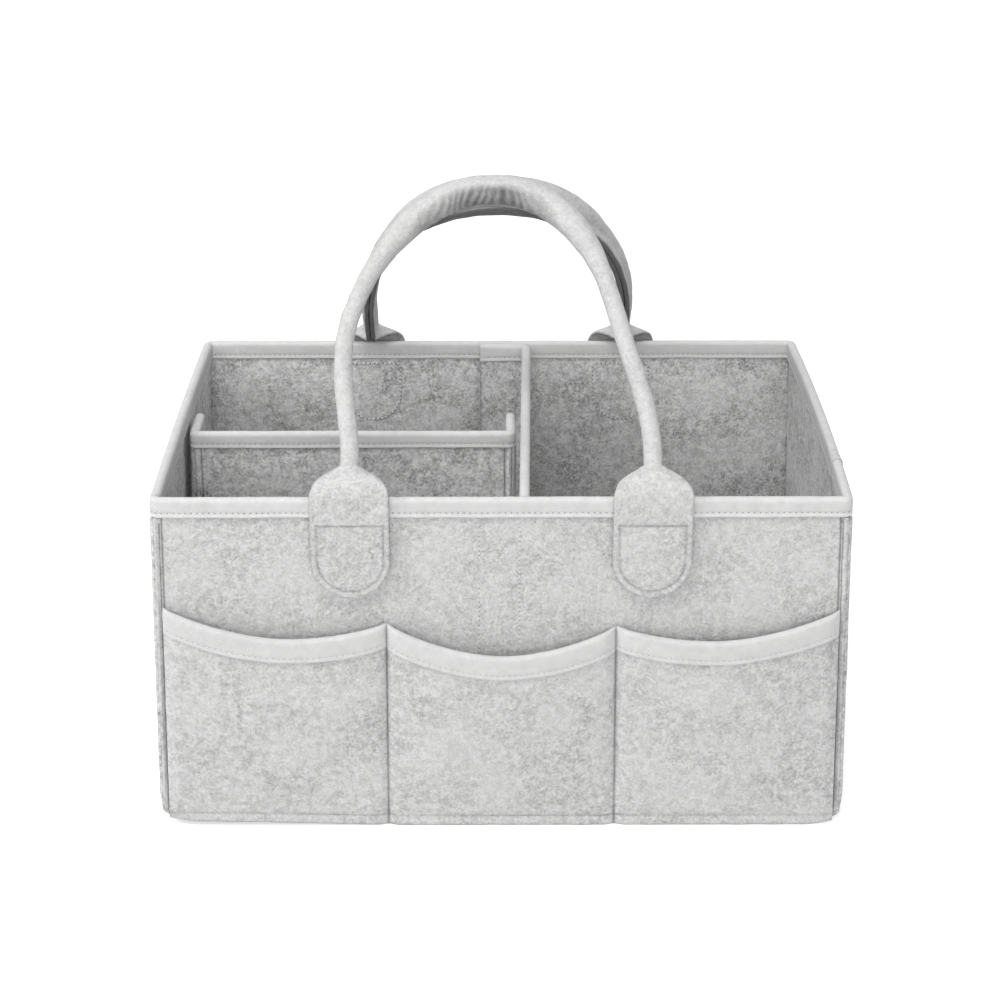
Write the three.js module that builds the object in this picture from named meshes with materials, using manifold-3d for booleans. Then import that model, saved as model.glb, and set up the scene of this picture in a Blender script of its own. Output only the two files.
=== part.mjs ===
// A soft felt caddy for nappies: an open box of sewn felt with bound edges, three scalloped
// pockets on the front, a sewn divider, a removable divider and two carrying handles.
// Millimetres, +Z up. The pockets face -Y and +X is to the right of somebody facing them.
import * as THREE from 'three';
import { mergeVertices } from 'three/addons/utils/BufferGeometryUtils.js';
import Module from 'manifold-3d';

const wasm = await Module();
wasm.setup();

// Cloth
const felt = 3;                  // thickness of the felt everywhere
const tape = 1;                  // thickness of the folded twill tape that binds the cut edges
const gap = 0.3;                 // clearance between two pieces that lie against each other
const overrun = 5;               // how far a cutting solid runs past what it cuts

// Box
const rimWidth = 380;            // across the rim, over the tape
const rimDepth = 265;            // front to back at the rim, over the tape
const rimHeight = 200.8;         // top of the rim tape above the ground
const flare = 5;                 // how much further out each end stands at the ground
const finLayer = 2.2;            // felt squeezed by the stitching of a corner seam
const finReach = 2.8;            // how far a corner seam runs out past the inner corner, along each side
const rimTapeHeight = 10;        // how far the rim tape reaches down each face
const footHeight = 6.5;          // depth of the turned-down edge that the base stands on
const footCorner = 6;            // rounding of the lower corners seen from the side

// Front pockets
const pocketDivision = 62.5;     // stitch lines between the pockets, either side of the middle
const pocketEndDrop = 67.2;      // from the rim down to the pocket tape at the corner seams
const pocketDivisionDrop = 76.3;
const pocketTapeHeight = 13;
const pocketSagDepths = [12.5, 14, 12.5];    // dip of each scalloped edge
const pocketBellies = [6.5, 9, 6.5];         // how far each pocket stands open at its edge
const pocketPinchWidth = 6;      // width over which the cloth thins towards a stitch line
const pocketPinchShare = 0.5;    // what is left of the thickness on a stitch line

// Sewn divider, front to back
const dividerFrontPlace = 12.6;  // where it meets the front wall, right of the middle
const dividerRearPlace = 17;     // where it meets the rear wall
const dividerFlapEdge = 12.8;    // free edge of both flaps, left of the middle
const dividerBend = 4;           // bend radius between divider and flap

// Removable divider
const insertFront = 7;           // its front face, in front of the middle
const insertDrop = 9.8;          // from the rim down to the top of its tape
const insertFlapLength = 32;     // how far its end flaps run back from its front face
const insertTapeHeight = 10;
const insertFinReach = 2.4;
const slideClearance = 0.6;      // beside it, so that it lifts past the tape
const hookThickness = 1.2;       // hook strips on the outside of the end flaps
const hookWidthShare = 0.7;      // of the flap that carries them
const hookLengthShare = 0.88;

// Handles
const handleSpacing = 164;       // between the middles of the two tabs of one handle
const tabWidth = 43;
const hingeDrop = 14.8;          // from the rim down to the stitch row where the handle starts to bend
const tabDrop = 42;              // from that stitch row down to the round end of the tab
const leanClearance = 0.7;       // above the rim before the tab leans in
const handleBendRadius = 14;
const handleMeetingGap = 0.8;    // the handles lean in until their raw edges are this far apart
const frontArchReach = 202;      // from the stitch row to the middle of the grip, along the handle
const rearArchReach = 194;
const frontSway = -9.3;          // how far each arch has slumped sideways
const rearSway = 0.5;
const swayStart = 40;            // where the sideways slump begins and is complete
const swayEnd = 118;
const swayReturnShare = 0.5;     // how much of the slump is made up again towards the grip
const neckStart = 16;            // where the tab starts to roll up, and where it is a closed tube
const neckEnd = 35;
const limbStraight = 20;         // straight tube between the neck and the arch
const shoulderPower = 1.8;       // how square the shoulders of a tab are
const coreInset = 6;             // where the filling begins, beyond the neck
const limbRadius = 5;            // outside of the tube beside the tabs
const gripRadius = 8;            // and at the grip
const gripStart = 140;           // where the tube starts to thicken
const finLength = 5.5;           // raw edges standing out from the tube
const rollSlit = 0.3;            // between the two raw edges
const archFullnessPower = 0.9;   // a little fuller than an ellipse
const handleArchSteps = 22;
const neckSteps = 7;
const tubeArcSteps = 6;
const coreSides = 8;
const tabArcSteps = 14;
const leanSearchSteps = 30;

const feltColour = 0xcfcfcd;
const tapeColour = 0xe2e2e0;
const fillingColour = 0x9c9c9b;
const hookColour = 0xd8d8d6;

const feltMaterial = cloth(feltColour, 0.95);
const tapeMaterial = cloth(tapeColour, 0.8);
const coreMaterial = cloth(fillingColour, 0.95);
const hookMaterial = cloth(hookColour, 0.7);

// Places that follow from the sizes above
const half = 1 / 2;
const quarterTurn = Math.PI * half;
const eighthTurn = quarterTurn * half;
const diagonalShare = Math.SQRT1_2;
const cornerSteps = 5;
const wallOuterX = rimWidth * half - tape - gap;
const wallOuterY = rimDepth * half - tape - gap;
const wallInnerX = wallOuterX - felt;
const wallInnerY = wallOuterY - felt;
const wallTop = rimHeight - tape - gap;
const finTop = rimHeight - rimTapeHeight - gap;
const baseTop = footHeight + felt;
const coverHalf = felt * half + gap + tape;      // half the thickness of a taped edge
const hingeHeight = rimHeight - hingeDrop;
const handleRise = hingeDrop + leanClearance;
const limbLength = neckEnd + limbStraight;

// Solids and cloth

function toSolid(geometry) {
  const bare = geometry.clone();
  bare.deleteAttribute('normal');
  bare.deleteAttribute('uv');
  const merged = mergeVertices(bare);
  return new wasm.Manifold(new wasm.Mesh({
    numProp: 3,
    vertProperties: new Float32Array(merged.attributes.position.array),
    triVerts: new Uint32Array(merged.index.array),
  }));
}

function toGeometry(solid) {
  const { vertProperties, triVerts } = solid.getMesh();
  const geometry = new THREE.BufferGeometry();
  geometry.setAttribute('position', new THREE.BufferAttribute(vertProperties, 3));
  geometry.setIndex(new THREE.BufferAttribute(triVerts, 1));
  return geometry;
}

function cloth(color, roughness) {
  return new THREE.MeshStandardMaterial({ color, roughness, metalness: 0 });
}

function piece(name, geometry, material) {
  geometry.computeVertexNormals();
  const mesh = new THREE.Mesh(geometry, material);
  mesh.name = name;
  return mesh;
}

// The end walls lean out towards the ground, and everything sewn to them follows.
function spread(geometry) {
  const places = geometry.attributes.position;
  for (let i = 0; i < places.count; i += 1) {
    const drop = 1 - places.getZ(i) / rimHeight;
    places.setX(i, places.getX(i) * (1 + (flare / (rimWidth * half)) * drop));
  }
  return geometry;
}

// An upright sheet whose outline is seen from above
function upright(outline, low, high, holes = []) {
  const shape = new THREE.Shape(outline);
  shape.holes = holes.map((hole) => new THREE.Path(hole));
  const geometry = new THREE.ExtrudeGeometry(shape, { depth: high - low, bevelEnabled: false, steps: 1 });
  return geometry.translate(0, 0, low);
}

// The points of an open line seen from above, moved sideways and mitred at its bends
function offsetLine(points, distance) {
  const last = points.length - 1;
  return points.map((point, i) => {
    const arriving = point.clone().sub(points[Math.max(i - 1, 0)]).normalize();
    const leaving = points[Math.min(i + 1, last)].clone().sub(point).normalize();
    const along = arriving.clone().add(leaving).normalize();
    const stretch = i > 0 && i < last ? along.dot(leaving) : 1;
    const side = new THREE.Vector2(along.y, -along.x);
    return point.clone().addScaledVector(side, distance / stretch);
  });
}

function ribbon(points, halfThickness) {
  return [...offsetLine(points, halfThickness), ...offsetLine(points, -halfThickness).reverse()];
}

// Tape folded over the top edge of a sheet: a bar along its line with a channel for the sheet
function foldedTape(bar, channel, top, height) {
  const low = top - height;
  const outside = toSolid(upright(bar.outline, low, top, bar.holes));
  const inside = toSolid(upright(channel.outline, low - overrun, top - tape, channel.holes));
  return toGeometry(outside.subtract(inside));
}

// A closed body from rows of points, each of which goes once round the body's section
function loft(rows) {
  const count = rows[0].length;
  const positions = rows.flat().flatMap((point) => [point.x, point.y, point.z]);
  const index = [];
  for (let row = 0; row + 1 < rows.length; row += 1) {
    for (let i = 0; i < count; i += 1) {
      const a = row * count + i;
      const b = row * count + ((i + 1) % count);
      index.push(a, b, b + count, a, b + count, a + count);
    }
  }
  const capRows = [[rows[0], 0, true], [rows[rows.length - 1], (rows.length - 1) * count, false]];
  for (const [row, start, flipped] of capRows) {
    for (const [a, b, c] of capFaces(row)) {
      index.push(...(flipped ? [start + c, start + b, start + a] : [start + a, start + b, start + c]));
    }
  }
  const geometry = new THREE.BufferGeometry();
  geometry.setAttribute('position', new THREE.Float32BufferAttribute(positions, 3));
  geometry.setIndex(index);
  return outwards(geometry);
}

// Triangles over a flat outline in space, in the outline's own turning sense
function capFaces(row) {
  const normal = new THREE.Vector3();
  row.forEach((point, i) => normal.add(point.clone().cross(row[(i + 1) % row.length])));
  normal.normalize();
  const across = row[0].clone().sub(row[Math.floor(row.length * half)]);
  across.addScaledVector(normal, -across.dot(normal)).normalize();
  const up = normal.clone().cross(across);
  const flat = row.map((point) => new THREE.Vector2(point.dot(across), point.dot(up)));
  return THREE.ShapeUtils.triangulateShape(flat, []);
}

// Turns every face round if the body's faces point inwards
function outwards(geometry) {
  const places = geometry.attributes.position;
  const index = geometry.index.array;
  const [a, b, c] = [new THREE.Vector3(), new THREE.Vector3(), new THREE.Vector3()];
  let volume = 0;
  for (let i = 0; i < index.length; i += 3) {
    a.fromBufferAttribute(places, index[i]);
    b.fromBufferAttribute(places, index[i + 1]);
    c.fromBufferAttribute(places, index[i + 2]);
    volume += a.dot(b.cross(c));
  }
  if (volume < 0) {
    geometry.setIndex(Array.from(index).reverse());
  }
  return geometry;
}

function blendShare(from, to, value) {
  return THREE.MathUtils.smoothstep(value, from, to);
}

// Sewn felt panels
// A panel lies along X with its inner face at y = 0 and its outer face towards -Y. Where two
// panels meet, their ends turn outwards at 45 degrees and are stitched into a corner seam.

function panelEnd(kind, inner) {
  const squeezed = finLayer * diagonalShare;
  const corner = inner - gap * diagonalShare;
  const ends = {
    plain: () => [[inner, 0], [inner, -felt]],
    fin: (reach) => [
      [corner, 0],
      [corner + reach, -reach],
      [corner + reach - squeezed, -reach - squeezed],
      [corner + felt - squeezed - squeezed, -felt],
    ],
    mitre: () => [[corner, 0], ...roundedMitre(corner)],
  };
  return (reach) => ends[kind](reach).map(([x, y]) => new THREE.Vector2(x, y));
}

// The outer corner of a mitred panel is round about its inner corner
function roundedMitre(corner) {
  const points = [];
  for (let i = 0; i <= cornerSteps; i += 1) {
    const angle = -eighthTurn * (1 + i / cornerSteps);
    points.push([corner + felt * Math.cos(angle), felt * Math.sin(angle)]);
  }
  return points;
}

function panelOutline({ left, right, leftInner, rightInner, reach }) {
  const rightEnd = panelEnd(right, rightInner)(reach);
  const leftEnd = panelEnd(left, leftInner)(reach).map((point) => new THREE.Vector2(-point.x, point.y));
  return [...rightEnd.reverse(), ...leftEnd];
}

// The outline of a panel seen square on, with its lower corners rounded
function roundedElevation(halfWidth, low, high, radius) {
  const shape = new THREE.Shape();
  shape.moveTo(halfWidth, high);
  shape.lineTo(-halfWidth, high);
  shape.lineTo(-halfWidth, low + radius);
  shape.absarc(-halfWidth + radius, low + radius, radius, Math.PI, Math.PI + quarterTurn, false);
  shape.absarc(halfWidth - radius, low + radius, radius, -quarterTurn, 0, false);
  const options = { depth: rimDepth, bevelEnabled: false, curveSegments: cornerSteps };
  const geometry = new THREE.ExtrudeGeometry(shape, options);
  return geometry.translate(0, 0, -rimDepth * half).rotateX(quarterTurn);
}

// A panel keeps its seam below the tape; under the tape its ends are trimmed flush
function seamedPanel(plan, low, seamTop, high) {
  const lower = toSolid(upright(panelOutline(plan), low, seamTop));
  const trimmed = { ...plan };
  for (const side of ['left', 'right']) {
    trimmed[side] = plan[side] === 'fin' ? 'mitre' : plan[side];
  }
  return lower.add(toSolid(upright(panelOutline(trimmed), low, high)));
}

function wallPanel(inner) {
  const plan = { left: 'fin', right: 'fin', leftInner: inner, rightInner: inner, reach: finReach };
  const seen = toSolid(roundedElevation(inner + felt, 0, wallTop + overrun, footCorner));
  return toGeometry(seamedPanel(plan, 0, finTop, wallTop).intersect(seen));
}

function boxWalls() {
  const walls = [
    ['front_panel', wallInnerX, wallInnerY, 0],
    ['right_panel', wallInnerY, wallInnerX, 1],
    ['rear_panel', wallInnerX, wallInnerY, 2],
    ['left_panel', wallInnerY, wallInnerX, 3],
  ];
  return walls.map(([name, along, out, quarter]) => {
    const geometry = wallPanel(along).translate(0, -out, 0).rotateZ(quarter * quarterTurn);
    return piece(name, spread(geometry), feltMaterial);
  });
}

function roundedRectangle(halfWidth, halfDepth, radius) {
  const points = [];
  const corners = [[1, 1], [-1, 1], [-1, -1], [1, -1]];
  corners.forEach(([sideX, sideY], quarter) => {
    for (let i = 0; i <= cornerSteps; i += 1) {
      const angle = (quarter + i / cornerSteps) * quarterTurn;
      const x = sideX * (halfWidth - radius) + radius * Math.cos(angle);
      const y = sideY * (halfDepth - radius) + radius * Math.sin(angle);
      points.push(new THREE.Vector2(x, y));
    }
  });
  return points;
}

// The base is a sheet whose edge turns down inside the walls and is stitched to them
function basePanel() {
  const halfWidth = wallInnerX - gap;
  const halfDepth = wallInnerY - gap;
  const tray = toSolid(upright(roundedRectangle(halfWidth, halfDepth, footCorner), 0, baseTop));
  const hollow = roundedRectangle(halfWidth - felt, halfDepth - felt, footCorner - felt);
  const cut = toSolid(upright(hollow, -overrun, footHeight));
  return piece('base_panel', spread(toGeometry(tray.subtract(cut))), feltMaterial);
}

// An outline at a distance from the middle of the walls' thickness, round about their inner corners
function rimOutline(distance) {
  const radius = Math.max(felt * half + distance, gap);
  return roundedRectangle(wallOuterX - felt * half + distance, wallOuterY - felt * half + distance, radius);
}

function rimBinding() {
  const ring = (distance) => ({ outline: rimOutline(distance), holes: [rimOutline(-distance)] });
  const geometry = foldedTape(ring(coverHalf), ring(felt * half + gap), rimHeight, rimTapeHeight);
  return piece('rim_binding', spread(geometry), tapeMaterial);
}

// Front pockets
// The pockets' cloth is stitched down at the corner seams, at two divisions and along the ground
// seam. Its top edge dips between the stitch lines and stands away from the wall there. Each
// pocket's cloth is a piece of its own, and one tape runs over all three.

const pocketEnd = wallInnerX - finLayer * diagonalShare;
const pocketLines = [-pocketEnd, -pocketDivision, pocketDivision, pocketEnd];
const pocketLineHeights = [pocketEndDrop, pocketDivisionDrop, pocketDivisionDrop, pocketEndDrop]
  .map((drop) => rimHeight - drop);
const pocketSteps = 10;
const pocketRowShares = [0, 0.05, 0.2, 0.4, 0.6, 0.8, 0.92, 1];
const pocketBack = tape + gap + gap;             // the panel's back stands off the wall by its own tape

const pocketNames = ['left', 'middle', 'right'];

function pocketStations(pocket) {
  const stations = [];
  for (let i = 0; i <= pocketSteps; i += 1) {
    const share = (1 - Math.cos((Math.PI * i) / pocketSteps)) * half;
    stations.push({ pocket, share });
  }
  return stations;
}

function pocketPlace({ pocket, share }) {
  return THREE.MathUtils.lerp(pocketLines[pocket], pocketLines[pocket + 1], share);
}

function pocketTop({ pocket, share }) {
  const straight = THREE.MathUtils.lerp(pocketLineHeights[pocket], pocketLineHeights[pocket + 1], share);
  const offCentre = share / half - 1;
  return straight - pocketSagDepths[pocket] * (1 - offCentre * offCentre);
}

// Distance from the wall to the back of the pocket panel
function pocketStand(station, height) {
  const top = pocketTop(station);
  const up = THREE.MathUtils.clamp((height - footHeight) / (top - footHeight), 0, 1);
  const open = Math.sqrt(Math.sin(Math.PI * station.share)) * Math.sin(up * quarterTurn);
  return pocketBack + pocketBellies[station.pocket] * open;
}

function pocketThickness(station) {
  const x = pocketPlace(station);
  const nearest = Math.min(...pocketLines.map((line) => Math.abs(line - x)));
  const share = blendShare(0, pocketPinchWidth, nearest);
  return felt * THREE.MathUtils.lerp(pocketPinchShare, 1, share);
}

function pocketPoint(station, height, outwardsBy) {
  const y = -wallOuterY - pocketStand(station, height) - outwardsBy;
  return new THREE.Vector3(pocketPlace(station), y, height);
}

function pocketPanel(name, pocket) {
  const rows = pocketStations(pocket).map((station) => {
    const top = pocketTop(station) - tape - gap;
    const heights = pocketRowShares.map((share) => THREE.MathUtils.lerp(gap, top, share));
    const thickness = pocketThickness(station);
    const front = heights.map((height) => pocketPoint(station, height, thickness));
    const back = heights.map((height) => pocketPoint(station, height, 0));
    return [...front, ...back.reverse()];
  });
  const shift = (row, by) => row.forEach((point) => { point.x += by; });
  if (pocket > 0) {
    shift(rows.at(0), gap * half);
  }
  if (pocket < pocketNames.length - 1) {
    shift(rows.at(-1), -gap * half);
  }
  return piece(`${name}_pocket_panel`, spread(loft(rows)), feltMaterial);
}

function pocketBinding() {
  const legShares = [0, 0.35, 0.7];
  const stations = pocketNames.flatMap((_, pocket) => pocketStations(pocket).slice(pocket ? 1 : 0));
  const rows = stations.map((station) => {
    const top = pocketTop(station);
    const fold = top - tape;
    const thickness = pocketThickness(station);
    const leg = legShares.map((share) => THREE.MathUtils.lerp(top - pocketTapeHeight, fold, share));
    const at = (heights, outwardsBy) => heights.map((height) => pocketPoint(station, height, outwardsBy));
    return [
      ...at([...leg, fold], thickness + gap + tape),
      ...at([top], thickness),
      ...at([top], 0),
      ...at([fold, ...leg.toReversed()], -gap - tape),
      ...at([...leg, fold], -gap),
      ...at([fold, ...leg.toReversed()], thickness + gap),
    ];
  });
  return piece('front_pocket_binding', spread(loft(rows)), tapeMaterial);
}

// Dividers

function dividerLine() {
  const flapY = wallInnerY - tape - gap - gap - tape - gap - felt * half;
  const bends = [
    { x: dividerFrontPlace - dividerBend, y: -flapY + dividerBend, from: -quarterTurn },
    { x: dividerRearPlace - dividerBend, y: flapY - dividerBend, from: 0 },
  ];
  const points = [new THREE.Vector2(-dividerFlapEdge, -flapY)];
  for (const { x, y, from } of bends) {
    for (let i = 0; i <= cornerSteps; i += 1) {
      const angle = from + quarterTurn * (i / cornerSteps);
      points.push(new THREE.Vector2(x + dividerBend * Math.cos(angle), y + dividerBend * Math.sin(angle)));
    }
  }
  points.push(new THREE.Vector2(-dividerFlapEdge, flapY));
  return points;
}

function centreDivider() {
  const line = dividerLine();
  const sheet = upright(ribbon(line, felt * half), baseTop + gap, wallTop);
  const bar = { outline: ribbon(line, coverHalf) };
  const longer = line.map((point) => point.clone());
  longer[0].x -= overrun;
  longer[longer.length - 1].x -= overrun;
  const channel = { outline: ribbon(longer, felt * half + gap) };
  return [
    piece('centre_divider', sheet, feltMaterial),
    piece('centre_divider_binding', foldedTape(bar, channel, rimHeight, rimTapeHeight), tapeMaterial),
  ];
}

// The removable divider stands between the left wall and the sewn divider, clear of their tape.
// It is a panel with an end flap sewn to either side, and hook strips hold the flaps to the felt.
const insertLeft = -(wallInnerX - gap - tape - slideClearance);
const insertRight = dividerFrontPlace - coverHalf - slideClearance;
const insertMiddle = (insertLeft + insertRight) * half;
const insertInner = (insertRight - insertLeft) * half - hookThickness - gap - felt;
const insertBackY = felt - insertFront;
const insertFlapInner = insertFlapLength - felt;
const insertHeight = rimHeight - insertDrop;
const insertSheetTop = insertHeight - tape - gap;
const insertSeamTop = insertHeight - insertTapeHeight - gap;
const insertBottom = baseTop + gap;

function insertSheet(left, leftInner, right, rightInner) {
  const plan = { left, leftInner, right, rightInner, reach: insertFinReach };
  return toGeometry(seamedPanel(plan, insertBottom, insertSeamTop, insertSheetTop));
}

function insertPanel() {
  const geometry = insertSheet('fin', insertInner, 'fin', insertInner);
  return piece('insert_panel', geometry.translate(insertMiddle, insertBackY, 0), feltMaterial);
}

// A flap's own X runs along the flap, and its seam is at the end that meets the panel
function insertFlap(name, side) {
  const geometry = side > 0
    ? insertSheet('fin', 0, 'plain', insertFlapInner)
    : insertSheet('plain', insertFlapInner, 'fin', 0);
  geometry.rotateZ(side * quarterTurn).translate(insertMiddle + side * insertInner, insertBackY, 0);
  return piece(name, geometry, feltMaterial);
}

function insertHook(name, side) {
  const width = insertFlapInner * hookWidthShare;
  const length = (insertSeamTop - insertBottom) * hookLengthShare;
  const geometry = new THREE.BoxGeometry(hookThickness, width, length);
  const x = insertMiddle + side * (insertInner + felt + gap + hookThickness * half);
  geometry.translate(x, insertBackY + insertFlapInner - width * half, insertSeamTop - length * half);
  return piece(name, geometry, hookMaterial);
}

function insertBinding() {
  const lineFor = (backY) => [
    new THREE.Vector2(-insertInner - felt * half, backY),
    new THREE.Vector2(-insertInner - felt * half, -felt * half),
    new THREE.Vector2(insertInner + felt * half, -felt * half),
    new THREE.Vector2(insertInner + felt * half, backY),
  ];
  const bar = { outline: ribbon(lineFor(insertFlapInner), coverHalf) };
  const channel = { outline: ribbon(lineFor(insertFlapInner + overrun), felt * half + gap) };
  const geometry = foldedTape(bar, channel, insertHeight, insertTapeHeight);
  return piece('insert_binding', geometry.translate(insertMiddle, insertBackY, 0), tapeMaterial);
}

// Handles
// Each is one strip of felt. It lies flat against the wall as a tab at both ends, and between
// the tabs it is rolled round a cord of filling, with its raw edges sewn together as a fin.
// A place on a handle is its distance from the middle and its reach from the stitch row.

const tabMiddleY = rimDepth * half + gap + felt * half;
const rollInset = limbRadius - felt * half;      // the tube rolls up on the inner side of the strip

// How far a strip has leant in and risen at a reach, and its angle there
function leanAt(reach, lean) {
  const turned = THREE.MathUtils.clamp((reach - handleRise) / handleBendRadius, 0, lean);
  const level = Math.min(reach, handleRise);
  const rest = Math.max(reach - handleRise - handleBendRadius * lean, 0);
  return {
    inward: handleBendRadius * (1 - Math.cos(turned)) + rest * Math.sin(turned),
    up: level + handleBendRadius * Math.sin(turned) + rest * Math.cos(turned),
    angle: turned,
  };
}

function handleLine(archReach, limbReaches) {
  const left = limbReaches.map((reach) => ({ across: -handleSpacing * half, reach }));
  const arch = [];
  for (let i = 1; i < handleArchSteps; i += 1) {
    const angle = (Math.PI * i) / handleArchSteps;
    const width = Math.sign(Math.cos(angle)) * Math.abs(Math.cos(angle)) ** archFullnessPower;
    const reach = limbLength + (archReach - limbLength) * Math.sin(angle);
    arch.push({ across: -handleSpacing * half * width, reach });
  }
  const right = limbReaches.map((reach) => ({ across: handleSpacing * half, reach })).reverse();
  return [...left, ...arch, ...right];
}

// Each handle leans in until the raw edges at its grip reach the middle of the caddy
function restingLean(archReach) {
  const rolled = rollInset + (gripRadius - limbRadius) * half + gripRadius + finLength;
  const thick = felt + rollSlit * half;
  const room = tabMiddleY - handleMeetingGap * half;
  let [low, high] = [0, quarterTurn];
  for (let i = 0; i < leanSearchSteps; i += 1) {
    const lean = (low + high) * half;
    const used = leanAt(archReach, lean).inward + rolled * Math.cos(lean) + thick * Math.sin(lean);
    [low, high] = used < room ? [lean, high] : [low, lean];
  }
  return low;
}

// The strip's place, its inward normal and the direction across it, at each station
function handleStations({ side, sway, archReach }, limbReaches) {
  const lean = restingLean(archReach);
  const stations = handleLine(archReach, limbReaches).map(({ across, reach }) => {
    const leant = leanAt(reach, lean);
    const slumped = blendShare(swayStart, swayEnd, reach);
    const returned = swayReturnShare * blendShare(swayEnd, archReach, reach);
    const x = across + sway * (slumped - returned);
    const place = new THREE.Vector3(x, side * (tabMiddleY - leant.inward), hingeHeight + leant.up);
    const inward = new THREE.Vector3(0, -side * Math.cos(leant.angle), -Math.sin(leant.angle));
    return { place, inward, reach, archReach };
  });
  stations.forEach((station, i) => {
    const before = stations[Math.max(i - 1, 0)].place;
    const after = stations[Math.min(i + 1, stations.length - 1)].place;
    const along = after.clone().sub(before).normalize();
    station.across = along.cross(station.inward).normalize();
  });
  return stations;
}

function tubeRadius({ reach, archReach }) {
  return THREE.MathUtils.lerp(limbRadius, gripRadius, blendShare(gripStart, archReach, reach));
}

// The middle of the tube lies on the inner side of the strip that it is rolled from
function tubeInset(station) {
  return rollInset + (tubeRadius(station) - limbRadius) * half;
}

// Half of the strip's section, from its raw edge round to the middle of its outer face:
// the rolled form and the flat form as pairs of distances across and inward
function stripSection(station, outer) {
  const radius = tubeRadius(station) - (outer ? 0 : felt);
  const centre = tubeInset(station);
  const side = rollSlit * half + (outer ? felt : 0);
  const root = Math.asin(Math.min(side / radius, 1));
  const tip = centre + tubeRadius(station) + finLength;
  const rolled = [[side, tip]];
  for (let i = 0; i <= tubeArcSteps; i += 1) {
    const angle = THREE.MathUtils.lerp(root, Math.PI, i / tubeArcSteps);
    rolled.push([radius * Math.sin(angle), centre + radius * Math.cos(angle)]);
  }
  const level = (outer ? -1 : 1) * felt * half;
  const flat = rolled.map((_, i) => [tabWidth * half * (1 - i / (rolled.length - 1)), level]);
  const share = THREE.MathUtils.clamp((station.reach - neckStart) / (neckEnd - neckStart), 0, 1);
  const rolledShare = 1 - (1 - share ** shoulderPower) ** (1 / shoulderPower);
  return rolled.map(([across, inward], i) => [
    THREE.MathUtils.lerp(flat[i][0], across, rolledShare),
    THREE.MathUtils.lerp(flat[i][1], inward, rolledShare),
  ]);
}

function handleSection(station) {
  const place = ([across, inward]) => station.place.clone()
    .addScaledVector(station.across, across)
    .addScaledVector(station.inward, inward);
  const mirrored = (points) => points.map(([across, inward]) => [-across, inward]);
  const outer = stripSection(station, true);
  const inner = stripSection(station, false);
  const round = [
    ...outer,
    ...mirrored(outer).reverse().slice(1),
    ...mirrored(inner),
    ...inner.toReversed().slice(1),
  ];
  return round.map(place);
}

function handleCover(name, handle) {
  const tabReaches = [0, handleRise];
  for (let i = 0; i <= neckSteps; i += 1) {
    tabReaches.push(THREE.MathUtils.lerp(neckStart, neckEnd, Math.sin((quarterTurn * i) / neckSteps)));
  }
  const stations = handleStations(handle, [...tabReaches, limbLength]);
  return piece(name, loft(stations.map(handleSection)), feltMaterial);
}

function handleCore(name, handle) {
  const rows = handleStations(handle, [neckEnd + coreInset, limbLength]).map((station) => {
    const radius = tubeRadius(station) - felt - gap;
    const row = [];
    for (let i = 0; i < coreSides; i += 1) {
      const angle = (Math.PI * 2 * i) / coreSides;
      row.push(station.place.clone()
        .addScaledVector(station.across, radius * Math.sin(angle))
        .addScaledVector(station.inward, tubeInset(station) + radius * Math.cos(angle)));
    }
    return row;
  });
  return piece(name, loft(rows), coreMaterial);
}

// The lower half of a tab, below the stitch row, is sewn flat to the wall
function tabPatch(name, across, side) {
  const radius = tabWidth * half;
  const roundFrom = hingeHeight - tabDrop + radius;
  const shape = new THREE.Shape();
  shape.moveTo(radius, hingeHeight - gap);
  shape.lineTo(-radius, hingeHeight - gap);
  shape.lineTo(-radius, roundFrom);
  shape.absarc(0, roundFrom, radius, Math.PI, Math.PI * 2, false);
  const options = { depth: felt, bevelEnabled: false, curveSegments: tabArcSteps };
  const geometry = new THREE.ExtrudeGeometry(shape, options).rotateX(quarterTurn);
  const frontFace = side > 0 ? wallOuterY + gap + felt : -wallOuterY - gap;
  return piece(name, geometry.translate(across, frontFace, 0), feltMaterial);
}

function handles() {
  const front = { side: -1, sway: frontSway, archReach: frontArchReach };
  const rear = { side: 1, sway: rearSway, archReach: rearArchReach };
  const pieces = [];
  for (const [end, handle] of [['front', front], ['rear', rear]]) {
    pieces.push(handleCover(`${end}_handle_cover`, handle), handleCore(`${end}_handle_core`, handle));
    for (const [place, across] of [['left', -handleSpacing * half], ['right', handleSpacing * half]]) {
      pieces.push(tabPatch(`${end}_${place}_tab_patch`, across, handle.side));
    }
  }
  return pieces;
}

const caddy = new THREE.Group();
caddy.add(...boxWalls(), basePanel(), rimBinding());
caddy.add(...pocketNames.map(pocketPanel), pocketBinding(), ...centreDivider());
caddy.add(insertPanel(), insertBinding());
for (const [end, side] of [['left', -1], ['right', 1]]) {
  caddy.add(insertFlap(`insert_${end}_flap`, side), insertHook(`insert_${end}_hook_strip`, side));
}
caddy.add(...handles());

// The origin is on the ground in the middle of the whole outline
const outline = new THREE.Box3().setFromObject(caddy);
const middle = outline.getCenter(new THREE.Vector3());
caddy.position.set(-middle.x, -middle.y, 0);

export default caddy;
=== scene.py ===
"""The look of a soft felt caddy: sewn walls, folded twill tape, pockets, dividers and rolled handles.

Metres, +Z up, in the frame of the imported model. The pockets face -Y. Shapes are worked out about
the middle of the box and moved to the frame's own place when each mesh is made.
"""
import math

import bmesh
import bpy
import numpy as np
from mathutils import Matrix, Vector, noise


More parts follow.
